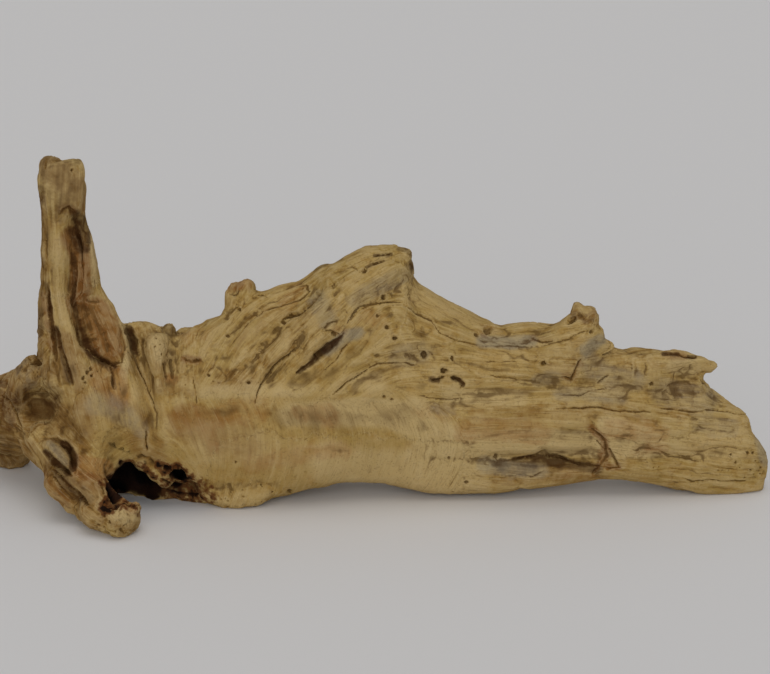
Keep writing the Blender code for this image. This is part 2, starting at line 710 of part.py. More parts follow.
def build():
    clear_scene()
    parts = new_collection("driftwood")
    helpers = new_collection("cutters")
    body = fused_body(parts)
    sculpt(body)
    for index, pocket in enumerate(HOLLOWS):
        cut(body, hollow_cutter(index, pocket, helpers), "DIFFERENCE")
    floor = block("floor_cutter", helpers, Matrix.Identity(4), (-1, -1, -FLOOR_DEPTH), (1, 1, 0))
    apply_modifiers(body)
    drop_crumbs(body)
    thin_out(body, TRIANGLES)
    cut(body, floor, "DIFFERENCE")
    apply_modifiers(body)
    pieces = separate_forks(body, parts, helpers)
    set_on_origin(pieces, helpers)
    finish_solid(body, BLEACHED)
    for fork, limb in zip(FORKS, pieces[1:]):
        finish_solid(limb, fork.colour)


build()
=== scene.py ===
"""Driftwood on a pale table: the looks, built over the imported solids.

The five solids are grown together into one fine skin, and that skin is worked as the weather
works wood: cracks, worm holes and flakes where the piece has them, then ridges that follow the
grain everywhere. Then it is parted at the forks again, so that each solid has its own piece.
"""

import math
from collections import namedtuple

import bmesh
import bpy
import numpy as np
from mathutils import Matrix, Vector, noise
from mathutils.bvhtree import BVHTree


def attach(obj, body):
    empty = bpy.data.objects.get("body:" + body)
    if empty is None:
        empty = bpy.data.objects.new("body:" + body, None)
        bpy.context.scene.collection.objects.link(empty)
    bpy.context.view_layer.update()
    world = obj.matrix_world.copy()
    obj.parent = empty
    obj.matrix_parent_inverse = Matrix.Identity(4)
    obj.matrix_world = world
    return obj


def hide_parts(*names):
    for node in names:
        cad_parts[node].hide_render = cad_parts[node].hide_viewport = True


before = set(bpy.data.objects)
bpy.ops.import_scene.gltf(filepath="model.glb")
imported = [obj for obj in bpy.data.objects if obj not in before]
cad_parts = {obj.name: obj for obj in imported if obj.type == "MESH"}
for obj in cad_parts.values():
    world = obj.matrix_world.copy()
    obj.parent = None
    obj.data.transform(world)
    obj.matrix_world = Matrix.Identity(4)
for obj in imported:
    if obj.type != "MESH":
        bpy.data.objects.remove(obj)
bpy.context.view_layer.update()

# The photograph's frame, and the camera that gives its view. One pixel is a millimetre at the target
IMAGE_WIDTH, IMAGE_HEIGHT = 770, 674
SENSOR = 36.0
DISTANCE = 1.700
ELEVATION = 18.0
TARGET = (0.0211, 0.0309, 0.161)
FOCAL_PIXELS = DISTANCE / 0.001

# The skin
VOXEL = 0.0013
SMOOTH_PASSES = 34
FORK_OVERLAP = 0.003
SKIN_TRIANGLES = 232000
MM = 0.001
# Rays start that far off the skin, and the skin is cut at a fork within that distance of the cut
CLEAR_OF_SKIN = 4 * MM
NEAR_CUT = 4 * MM
# The cosine by which a point has to face the camera to be seen, and how much more makes it wholly seen
FACING_FROM, FACING_OVER = -0.05, 0.35

# Where each limb is parted from the trunk: a point on the cut, the way the limb heads, half widths and reach
Fork = namedtuple("Fork", "node at heading wide deep reach")
FORKS = (
    Fork("upright_limb", (-0.2809, 0.0059, 0.166), (-0.26, 0.00, 0.96), 0.075, 0.080, 0.24),
    Fork("foot_root", (-0.2789, -0.0411, 0.042), (0.62, -0.70, -0.36), 0.044, 0.040, 0.12),
    Fork("left_root", (-0.3509, 0.0529, 0.066), (-0.86, 0.48, -0.10), 0.075, 0.090, 0.12),
    Fork("branch_stub", (0.2071, 0.0169, 0.168), (0.26, 0.00, 0.96), 0.042, 0.050, 0.07),
)

# Small pulls on the skin: the pixel, pixels of radius, then pixels to the right and up
NUDGES = (
    ((752, 466), 34, (5, 0)), ((704, 363), 10, (3, 1)), ((695, 379), 14, (5, 0)), ((738, 422), 24, (4, 4)),
    ((716, 400), 14, (0, -5)), ((638, 354), 26, (0, 3)), ((676, 358), 26, (0, 3)), ((658, 357), 17, (0, 3)),
    ((528, 329), 26, (0, 4)), ((577, 309), 9, (-1, 6)), ((590, 310), 12, (2, 2)), ((612, 358), 18, (0, 4)),
    ((245, 288), 12, (1, 5)), ((231, 288), 9, (4, -5)), ((46, 324), 11, (-5, 0)), ((404, 254), 12, (5, 3)),
    ((64, 484), 24, (-8, 0)), ((92, 511), 22, (-7, 0)), ((60, 486), 34, (-6, -3)), ((94, 514), 26, (-4, -4)),
    ((130, 520), 14, (5, 0)), ((30, 368), 16, (-1, 11)), ((37, 374), 14, (0, 5)), ((134, 508), 9, (4, 3)),
    ((76, 232), 12, (2, 0)),
)
# Small lumps that the solids leave out: the pixel, its depth y and the half sizes, in millimetres
LUMPS = (
    ((128, 453), -23, (16, 14, 8)), ((145, 459), -22, (13, 15, 12)), ((157, 467), -22, (12, 15, 15)),
    ((165, 476), -20, (10, 14, 12)), ((114, 459), -24, (11, 15, 10)), ((106, 468), -30, (10, 17, 10)),
    ((169.5, 331), 24, (6.5, 7, 9)), ((248, 286), 33, (8, 7, 7)), ((594, 336), 14, (11, 12, 12)),
    ((600, 347), 17, (15, 14, 9)), ((74, 504), -60, (9, 10, 9)), ((84, 512), -66, (9, 10, 9)),
    ((709, 365), 28, (9.5, 7, 4.5)),
)
# How far the hollow's rim is eaten away or left hanging, and how wide the bites are
RIM_BITE = 0.0030
RIM_BITE_WIDTH = 0.0065
# How far to each side of the hollow's edge the rim goes, and how far back, in the hollow's half sizes
RIM_BAND = 0.45
RIM_BACK = 0.3

# Creases of the solids that the wood doesn't have: pixels of radius, how much they are eased, then pixels along them
EASE_PASSES = 160
EASED_AREAS = (
    (15, 1.0, ((84, 430), (104, 438), (124, 447))),
    (14, 1.0, ((262, 408), (300, 412), (350, 416), (404, 423))),
    (9, 1.0, ((597, 352), (606, 350), (616, 348))),
    (11, 0.8, ((672, 378), (686, 378), (696, 382))),
    (10, 0.8, ((57, 400), (56, 413), (48, 424), (36, 427), (24, 420))),
    (9, 0.9, ((348, 351), (353, 347), (357, 340))),
    (9, 0.9, ((300, 377), (306, 373))),
    (9, 0.9, ((324, 375), (332, 371), (340, 366))),
)

# The way the grain runs on the side that the camera sees, as lines of pixels
FRONT_GRAIN = (
    ((60, 165), (57, 215), (61, 290), (71, 345), (84, 392), (92, 425)),
    ((84, 205), (92, 250), (95, 295), (116, 340), (128, 385), (133, 420)),
    ((46, 215), (48, 260), (54, 310), (62, 350), (72, 390)),
    ((14, 395), (30, 366), (44, 345)),
    ((-30, 400), (-8, 396), (12, 404)),
    ((18, 412), (40, 410), (60, 428), (84, 452)),
    ((106, 470), (120, 450), (145, 441), (170, 446), (188, 464)),
    ((42, 458), (60, 480), (84, 503), (112, 532)),
    ((80, 476), (104, 493), (126, 515)),
    ((118, 350), (128, 380), (142, 414), (152, 438)),
    ((156, 340), (161, 370), (166, 400)),
    ((172, 348), (172, 392)),
    ((186, 352), (190, 388)),
    ((196, 388), (214, 360), (238, 326), (266, 301), (300, 285), (335, 263), (378, 250)),
    ((228, 388), (260, 346), (298, 312), (333, 286), (372, 264), (404, 252)),
    ((258, 392), (288, 352), (322, 322), (350, 296), (386, 276)),
    ((296, 388), (332, 356), (362, 326), (382, 302), (408, 284)),
    ((404, 256), (414, 280), (442, 304), (480, 324), (540, 326), (584, 312)),
    ((346, 326), (360, 304), (400, 303), (440, 322), (490, 344), (550, 345), (600, 342)),
    ((340, 398), (370, 373), (404, 362), (450, 364), (520, 370), (600, 380), (700, 390), (724, 396)),
    ((430, 396), (470, 398), (520, 398), (600, 398), (680, 406), (748, 413)),
    ((478, 434), (520, 432), (600, 436), (680, 446), (756, 456)),
    ((480, 462), (540, 468), (604, 465), (680, 475), (760, 481)),
    ((600, 350), (640, 352), (690, 355), (716, 369)),
    ((572, 330), (580, 304)),
    ((590, 345), (597, 310)),
    ((228, 308), (240, 284)),
    ((176, 404), (186, 425), (196, 450), (204, 478)),
    ((206, 402), (220, 424), (226, 448), (222, 478), (216, 498)),
    ((246, 402), (257, 422), (260, 446), (254, 474), (246, 494)),
    ((286, 402), (298, 424), (301, 450), (293, 480)),
    ((336, 404), (348, 424), (350, 448), (340, 474)),
    ((388, 408), (402, 428), (402, 452), (390, 478)),
    ((432, 414), (444, 432), (444, 456), (430, 482)),
)
# The same on the back and the top, in metres
BACK_GRAIN = (
    ((-0.240, 0.091, 0.070), (-0.040, 0.087, 0.072), (0.160, 0.077, 0.070), (0.400, 0.049, 0.040)),
    ((-0.220, 0.081, 0.130), (-0.110, 0.075, 0.150), (-0.040, 0.067, 0.196), (0.030, 0.055, 0.232)),
    ((-0.090, 0.083, 0.110), (0.070, 0.077, 0.140), (0.190, 0.071, 0.130), (0.330, 0.061, 0.110)),
    ((-0.300, 0.060, 0.330), (-0.290, 0.062, 0.230), (-0.280, 0.080, 0.130), (-0.270, 0.085, 0.050)),
    ((-0.200, 0.030, 0.000), (0.050, 0.030, 0.020), (0.380, 0.035, 0.004)),
    ((-0.400, 0.060, 0.080), (-0.350, 0.055, 0.085), (-0.300, 0.070, 0.090)),
    ((-0.385, 0.085, 0.060), (-0.378, 0.090, 0.010)),
)
GRAIN_SPREAD = 0.010
GRAIN_TURNS = 24
BEND_STEP = 0.006
# Brings a mean over taps back to about -1 to 1
NOISE_GAIN = 7.0
# What the grain's geometry nodes are given, in metres
GRAIN_SIZES = {
    "Ridge Width": 0.011, "Ridge Height": 0.0014, "Ridge Reach": 0.026,
    "Furrow Width": 0.015, "Furrow Depth": 0.0010, "Furrow Reach": 0.026,
    "Strand Width": 0.0044, "Strand Height": 0.0006, "Strand Reach": 0.012,
    "Pit Spacing": 0.0056, "Pit Depth": 0.0024, "Seed": 1.0,
}

# Marks in the wood: pixels across the half width, millimetres deep, then pixels along it. A groove has soft sides,
# a crack is narrow and steep, a pit keeps its width to its ends, and a lip is steep on the left of its own direction
Mark = namedtuple("Mark", "kind width depth line")
MARKS = {
    # limb
    "limb scoop": Mark("groove", 10, 8, ((74, 216), (82, 232), (83, 256), (79, 290), (76, 312))),
    "limb scoop lip": Mark("lip", 5, 2.4, ((58, 218), (62, 210), (69, 207), (77, 213))),
    "limb scoop floor": Mark("crack", 2.6, 4.2, ((75, 228), (78, 236), (84, 248), (82, 262))),
    "limb right strand": Mark("crack", 1.3, 2.0, ((86, 262), (85, 280), (82, 300))),
    "limb left crack": Mark("groove", 2.5, 2.2, ((45, 222), (46, 262), (43, 300))),
    "limb second crack": Mark("crack", 2.8, 4.2, ((47, 284), (50, 312), (53, 338), (56, 360))),
    "limb base cleft": Mark("crack", 2.8, 5, ((56, 326), (60, 344), (65, 364), (72, 384))),
    "limb nick": Mark("groove", 4, 2.4, ((39, 190), (41, 200))),
    "limb tip split": Mark("crack", 1.0, 1.2, ((46, 160), (45, 170))),
    "buttress rim": Mark("lip", 4, 1.2, ((100, 301), (92, 303), (86, 301))),
    "limb middle strand": Mark("crack", 1.4, 2.6, ((74, 256), (75, 280), (72, 300), (76, 316))),
    "buttress foot": Mark("lip", 5, 6, ((126, 350), (122, 361), (112, 364), (100, 359), (89, 346))),
    # crown
    "crown scoop": Mark("groove", 8, 8, ((76, 300), (80, 318), (85, 336), (92, 350))),
    "crown scoop edge": Mark("lip", 4, 3, ((120, 366), (110, 366), (99, 361), (91, 352))),
    "buttress tail": Mark("crack", 1.6, 3, ((110, 366), (113, 376), (114, 388))),
    "knob cleft": Mark("groove", 4, 6.5, ((127, 325), (131, 335), (134, 348), (137, 362))),
    "knob side": Mark("groove", 3, 2.0, ((142, 338), (144, 350), (150, 366))),
    "crown crack": Mark("crack", 1.1, 3, ((134, 354), (139, 369), (147, 387), (152, 401), (156, 413), (156, 428))),
    "crown small crack": Mark("crack", 1.2, 3.2, ((147, 429), (146, 440), (147, 451))),
    "flute one": Mark("crack", 2.0, 3.2, ((164, 362), (165, 370), (167, 379))),
    "flute two": Mark("crack", 2.2, 3.2, ((171, 358), (171, 368), (172, 378))),
    "flank crack": Mark("crack", 1, 1.6, ((193, 376), (195, 390), (196, 406))),
    "dome split": Mark("groove", 5, 3.2, ((20, 372), (26, 364), (30, 356))),
    "dome hollow": Mark("pit", 5.5, 6, ((33, 363), (39, 363))),
    "dome lower lip": Mark("lip", 8, 2.4, ((60, 404), (48, 396), (34, 396), (22, 402))),
    "root fold": Mark("crack", 1.8, 3, ((2, 395), (10, 402), (16, 414), (22, 430))),
    # knot curl and foot
    "curl rim": Mark("lip", 5, 3.4, ((44, 438), (56, 437), (68, 443), (76, 455), (76, 472))),
    "curl crescent": Mark("crack", 3.0, 6, ((62, 443), (69, 448), (73, 456), (73, 468))),
    "curl slit": Mark("crack", 3.4, 9, ((46, 452), (54, 461), (62, 468), (70, 474))),
    "foot groove": Mark("crack", 1.8, 4.2, ((54, 470), (66, 483), (77, 493), (88, 504))),
    "foot second groove": Mark("crack", 1.2, 2.4, ((52, 474), (62, 488), (74, 502))),
    "foot notch": Mark("lip", 5, 3.2, ((126, 501), (133, 506), (142, 504))),
    "foot bite": Mark("groove", 8, 9, ((112, 481), (117, 490), (113, 500), (108, 508))),
    "foot bite edge": Mark("lip", 4, 3, ((103, 482), (104, 492), (105, 502), (104, 511))),
    "foot end rim": Mark("lip", 4, 3, ((142, 506), (133, 500), (122, 501), (113, 508))),
    # hollow's rim
    "rim bite": Mark("pit", 4, 5, ((165, 467), (169, 470))),
    "rim cavity": Mark("pit", 5, 8, ((176, 468), (180, 476))),
    "rim crack": Mark("crack", 1.4, 3, ((160, 478), (172, 484), (186, 484))),
    "rim lower crack": Mark("crack", 1.4, 3, ((168, 490), (184, 494), (200, 494))),
    # upper left flank
    "overhang": Mark("lip", 5, 4, ((281, 320), (291, 314), (301, 310), (311, 299), (322, 286))),
    "overhang crack": Mark("crack", 1.3, 3.8, ((282, 319), (292, 314), (302, 309), (312, 299), (321, 288))),
    "long crack": Mark("crack", 1, 3.4, ((254, 404), (258, 392), (263, 382), (273, 370), (288, 358), (299, 346))),
    "long groove": Mark("groove", 5, 2.4, ((262, 384), (274, 370), (290, 354), (303, 334))),
    "steep groove": Mark("groove", 4, 3.2, ((253, 362), (260, 351), (270, 341), (281, 326))),
    "steep crack": Mark("crack", 1, 1.9, ((252, 362), (258, 352), (268, 343), (280, 328))),
    "wedge": Mark("groove", 4.5, 3.6, ((313, 361), (323, 352), (334, 343))),
    "wedge crack": Mark("crack", 2.2, 4.2, ((297, 373), (309, 363), (322, 352), (335, 341), (344, 334))),
    "wedge lip": Mark("crack", 1, 2.2, ((325, 370), (336, 360), (344, 348), (350, 341))),
    "flake loop": Mark("lip", 4, 2.4, ((322, 329), (329, 323), (338, 321))),
    "flake low loop": Mark("lip", 4, 2.4, ((323, 331), (332, 331), (340, 335))),
    "upper loop": Mark("crack", 1.1, 1.5, ((296, 288), (306, 285), (309, 291), (300, 300), (282, 306), (262, 311))),
    "high furrow": Mark("groove", 3.5, 2, ((262, 311), (246, 318), (236, 328), (228, 338))),
    "high crack": Mark("crack", 1, 1.5, ((226, 338), (235, 330), (243, 322))),
    "low crack": Mark("crack", 1, 1.5, ((232, 344), (240, 334), (249, 322), (262, 312))),
    "short slot": Mark("crack", 1.6, 2.6, ((258, 296), (264, 294))),
    "peak slot": Mark("crack", 1.4, 3.6, ((374, 256), (384, 255), (392, 253))),
    "peak low slot": Mark("crack", 1.3, 2.8, ((362, 270), (372, 264), (384, 261))),
    "peak loop": Mark("crack", 1, 1.5, ((344, 270), (352, 266), (360, 272), (366, 270))),
    "shoulder loop": Mark("groove", 3.5, 2, ((330, 280), (337, 290), (335, 302), (326, 312))),
    "arc": Mark("crack", 1.1, 2.6, ((347, 324), (354, 312), (361, 306), (382, 303), (400, 302))),
    "arc lip": Mark("lip", 4, 1.6, ((402, 302), (384, 303), (366, 306), (357, 312), (349, 322))),
    "arc tail": Mark("crack", 1, 1.9, ((400, 302), (416, 313), (432, 321), (440, 333), (456, 340), (480, 346))),
    "fold crack": Mark("crack", 1.2, 3.8, ((334, 394), (347, 383), (358, 376), (367, 370))),
    "fold tail": Mark("crack", 1, 1.9, ((367, 370), (379, 364), (402, 362), (420, 366))),
    "fold groove": Mark("groove", 4, 2, ((372, 356), (385, 357), (400, 354), (416, 357))),
    "ledge crumble": Mark("crack", 2.6, 3.2, ((184, 358), (191, 361), (200, 359))),
    # long right flank
    "upper furrow": Mark("groove", 4, 2.4, ((478, 338), (500, 343), (518, 344), (534, 340))),
    "upper slit": Mark("crack", 1.3, 2.2, ((530, 337), (542, 342), (553, 341))),
    "upper lip": Mark("lip", 4, 1.6, ((482, 346), (510, 346), (540, 346), (580, 336))),
    "slot": Mark("crack", 2.0, 4.5, ((431, 380), (438, 380), (445, 377))),
    "curved slot": Mark("crack", 2.8, 6, ((451, 378), (458, 379), (464, 383), (461, 388))),
    "mid line one": Mark("crack", 1, 0.9, ((417, 395), (430, 398), (450, 399), (470, 398))),
    "mid line two": Mark("crack", 1, 1.1, ((482, 373), (500, 378), (523, 380), (540, 382))),
    "mid line three": Mark("crack", 1, 1.0, ((484, 363), (510, 361), (534, 364))),
    "mid star": Mark("crack", 1.8, 3.4, ((563, 377), (571, 379), (575, 372), (581, 360))),
    "mid star arm": Mark("crack", 1.3, 2.2, ((597, 383), (603, 379), (608, 376))),
    "grey line": Mark("crack", 1, 1.5, ((560, 395), (578, 395), (592, 390), (606, 388))),
    "long line": Mark("crack", 1.2, 2.2, ((558, 409), (578, 408), (594, 407), (608, 409), (628, 412), (650, 412))),
    "long lip": Mark("lip", 5, 1.6, ((652, 412), (628, 412), (606, 409), (580, 408))),
    "dash one": Mark("groove", 3, 0.5, ((512, 430), (524, 428), (536, 429))),
    "dash two": Mark("groove", 3, 0.5, ((560, 431), (574, 431), (588, 434))),
    "undercut": Mark("lip", 6, 3.5, ((598, 466), (578, 463), (560, 457), (545, 454), (532, 456))),
    "undercut crack": Mark("crack", 1.4, 2.6,
                           ((504, 461), (522, 458), (540, 455), (558, 457), (578, 463), (598, 466))),
    "undercut low line": Mark("crack", 1, 1.4,
                              ((498, 479), (507, 477), (520, 475), (533, 478), (545, 471), (556, 468))),
    "tree trunk": Mark("crack", 2.2, 2.6, ((593, 428), (600, 435), (605, 441), (607, 455), (600, 465), (592, 475))),
    "tree branch": Mark("crack", 1.6, 2.0, ((608, 447), (613, 458), (619, 467))),
    "tree root": Mark("crack", 1.2, 1.5, ((600, 465), (610, 468), (620, 467))),
    "tree twig": Mark("crack", 1, 1.9, ((595, 440), (602, 446), (607, 452))),
    # right end
    "beak slots": Mark("crack", 2.2, 4.6, ((663, 354), (677, 354), (687, 357), (696, 357))),
    "soft dip": Mark("groove", 8, 2.4, ((633, 368), (648, 369))),
    "end recess": Mark("groove", 13, 1.5, ((668, 394), (682, 388), (700, 391))),
    "recess arch": Mark("lip", 7, 0.7, ((662, 396), (668, 386), (680, 381), (694, 382))),
    "end line": Mark("crack", 1.4, 2.6, ((656, 407), (673, 409), (688, 412), (710, 410), (728, 412), (748, 415))),
    "end second line": Mark("groove", 3.5, 1.2, ((655, 411), (668, 414), (690, 419), (716, 418), (740, 422))),
    "end third line": Mark("groove", 4, 0.8, ((690, 430), (716, 432), (740, 430))),
    "end ledge": Mark("lip", 5, 2.8, ((698, 461), (684, 459), (670, 457), (661, 451), (650, 449), (634, 451))),
    "end low crack": Mark("crack", 1.4, 2.8, ((682, 478), (693, 482), (710, 480), (727, 482), (746, 481))),
    "stub hollow": Mark("pit", 5, 5, ((569, 322), (573, 318))),
    "stub crease": Mark("groove", 3, 2, ((577, 314), (590, 320), (597, 314))),
    "stub fold": Mark("lip", 4, 1.6, ((566, 340), (580, 332), (596, 328))),
    # left knot stub
    "knot split": Mark("crack", 1.7, 3, ((223, 294), (222, 301))),
    "knot fold": Mark("groove", 3, 2.4, ((240, 306), (228, 315), (224, 322))),
    # belly
    "belly edge line": Mark("groove", 4, 0.7, ((300, 452), (330, 450), (348, 452))),
    "belly low dents": Mark("groove", 3, 1.0, ((228, 482), (231, 490), (228, 498))),
}
# A mark comes and goes over stretches of that many pixels, from the least share of its depth to that much more
MARK_STRETCHES = ((("crack", "pit"), 12), (("groove", "lip"), 34))
MARK_LEAST, MARK_MORE = 0.35, 0.85
MARK_SEED = 5.3
# Its edges waver: pixels across a wave, pixels of push, seed
WAVERS = ((11, 1.3, 3.1), (3.2, 0.35, 7.7))
# The back's marks, in millimetres of x and z, which turns a lip's steep side to its right
BACK_MARKS = (
    Mark("groove", 5, 3, ((-190, 64), (-60, 76), (60, 72), (150, 66), (250, 56))),
    Mark("crack", 1.4, 3.5, ((-190, 64), (-60, 76), (60, 72), (150, 66), (250, 56))),
    Mark("crack", 1.3, 3, ((-50, 142), (-6, 182), (28, 220))),
    Mark("crack", 1.3, 3, ((-150, 116), (-84, 138), (-34, 172), (-8, 204))),
    Mark("groove", 6, 3.5, ((-120, 104), (-60, 124), (0, 160), (36, 196))),
    Mark("crack", 1.4, 3.5, ((54, 136), (124, 118), (204, 118), (310, 96))),
    Mark("groove", 5, 2.5, ((70, 150), (140, 136), (200, 140))),
    Mark("crack", 1.3, 3, ((-250, 92), (-150, 98), (-60, 102), (24, 92))),
    Mark("groove", 5, 3, ((196, 38), (280, 44), (366, 34))),
    Mark("crack", 1.2, 2.5, ((220, 82), (300, 74), (380, 56))),
    Mark("groove", 5, 3, ((-300, 196), (-296, 260), (-300, 320))),
    Mark("crack", 1.3, 3, ((-300, 196), (-296, 260), (-300, 320))),
    Mark("crack", 1.2, 2.5, ((-280, 170), (-276, 220), (-282, 260))),
    Mark("groove", 6, 4, ((-272, 52), (-262, 98), (-268, 150))),
    Mark("crack", 1.3, 3, ((-220, 60), (-196, 108), (-160, 140))),
    Mark("lip", 7, 4, ((110, 92), (96, 104), (80, 104), (68, 92))),
    Mark("pit", 7, 6, ((84, 92), (94, 92))),
)
BACK_HOLES = (
    (-120, 84, 2.4, 5), (-112, 90, 1.8, 4), (-30, 130, 2.4, 5), (16, 176, 2.0, 4), (40, 112, 2.6, 5),
    (140, 92, 2.2, 5), (156, 84, 1.8, 4), (250, 92, 2.2, 4), (330, 60, 2.4, 5), (-230, 120, 2.2, 4),
    (-290, 230, 1.8, 4), (-200, 44, 2.4, 5), (-60, 44, 2.0, 4), (60, 40, 2.2, 4),
)
# Worm holes and small knots: pixel, radius in pixels, depth in millimetres
HOLES = (
    (365, 270, 2.6, 5), (239, 308, 2.0, 3), (228, 336, 1.9, 3), (283, 322, 2.6, 4), (384, 297, 2.6, 5),
    (377, 316, 1.8, 3), (387, 328, 2.4, 4), (395, 339, 2.6, 5), (424, 355, 3.2, 6), (334, 335, 2.8, 4),
    (248, 382, 2.2, 4), (208, 374, 1.6, 3), (232, 280, 1.6, 3), (488, 330, 4.2, 5), (477, 335, 2.2, 3),
    (444, 371, 3.2, 7), (452, 358, 2.0, 3), (543, 364, 2.2, 4), (496, 457, 2.6, 4), (592, 332, 2.2, 3),
    (704, 382, 2.0, 3), (290, 491, 2.4, 4), (319, 489, 2.0, 3), (236, 463, 1.6, 2), (88, 372, 2.4, 3),
    (84, 379, 2.0, 3), (91, 369, 1.8, 2), (86, 383, 1.5, 2), (92, 375, 1.5, 2), (384, 397, 2.0, 3),
    (392, 400, 1.6, 2), (72, 171, 1.4, 2), (17, 362, 2.2, 3), (121, 463, 2.0, 3), (449, 458, 1.6, 2),
    (466, 482, 1.6, 2), (652, 385, 2.0, 3),
)
# Areas by how rough the grain is: pixels of radius, roughness from 0 to 1, then pixels along them
FRONT_ROUGHNESS = 0.45
ROUGH_AREAS = (
    (46, 0.06, ((150, 440), (220, 440), (300, 440), (380, 440))),
    (26, 0.10, ((110, 420), (140, 440), (170, 420))),
    (20, 0.10, ((180, 398), (260, 396), (340, 398), (400, 410))),
    (16, 0.15, ((60, 170), (66, 190))),
    (12, 0.25, ((58, 230), (64, 290), (74, 340))),
    (34, 0.60, ((240, 350), (290, 320), (340, 290), (380, 270))),
    (22, 0.55, ((430, 350), (480, 370), (560, 370))),
    (20, 0.60, ((640, 455), (700, 462), (750, 460))),
    (24, 0.30, ((430, 440), (520, 435), (560, 440))),
    (20, 0.35, ((430, 290), (470, 318))),
    (12, 0.90, ((104, 528), (114, 524))),
    (14, 0.80, ((55, 480), (80, 505))),
    (18, 0.40, ((62, 300), (66, 340), (76, 372))), (14, 0.55, ((160, 346), (162, 354))),
    (26, 0.65, ((22, 366), (30, 384))),
    (16, 0.15, ((30, 408), (48, 414))),
    (13, 0.20, ((292, 382), (330, 374), (352, 350), (368, 330))),
    (11, 0.25, ((236, 344), (258, 330), (280, 336))),
)
BACK_ROUGHNESS = 0.75
BACK_PITS = 0.1
# An area fades out at that many times its radius
AREA_FADE = 1.6
# Areas that are pitted by worms and rot: radius, strength, pixels
PITTED_AREAS = (
    (11, 1.00, ((104, 528), (112, 522))), (11, 0.60, ((158, 346), (164, 354))),
    (20, 0.80, ((735, 462), (758, 462))),
    (16, 0.80, ((215, 502), (240, 503), (262, 498))),
    (15, 0.70, ((176, 484), (196, 492))),
    (17, 0.60, ((24, 372), (36, 384))),
    (12, 0.60, ((84, 368), (88, 380))),
    (11, 0.60, ((578, 316), (592, 322))),
    (14, 0.45, ((190, 372), (214, 380), (246, 380))),
    (12, 0.35, ((300, 470), (330, 478))),
    (14, 0.35, ((640, 470), (690, 468))),
)

# The rotted hollow, as round spaces: centre and half sizes
HOLLOWS = (
    ((-0.2269, -0.0271, 0.029), (0.032, 0.042, 0.034)),
    ((-0.1939, -0.0371, 0.010), (0.034, 0.034, 0.026)),
    ((-0.1829, -0.0251, 0.036), (0.010, 0.022, 0.009)),
)
# The hollow is painted dark as shade where the sky can't reach: how far past the spaces that is felt, the rays cast
# and how far they look
SHADE_REACH = 1.35
SHADE_RAYS = 24
SHADE_RANGE = 0.080
# What counts as sunken, for painted shade in the hollows and a painted highlight on the crests: passes that smooth
# the surroundings, millimetres below them that make 1, and the share
SINKS = ((6, 0.35, 0.75), (60, 2.2, 0.25))
MOST_SUNK = 1.5

# The tints of the wood: colour, the most that it covers, and how much of it the sides that aren't seen have
TINTS = {
    "brown": ("#7a5424", 0.75, 0.20),
    "pale": ("#c6ad7a", 0.65, 0.20),
    "warm": ("#976735", 0.60, 0.15),
    "grey": ("#857f6f", 0.62, 0.25),
    "russet": ("#74461d", 0.80, 0.10),
    "dark": ("#3a200b", 0.85, 0.0),
}
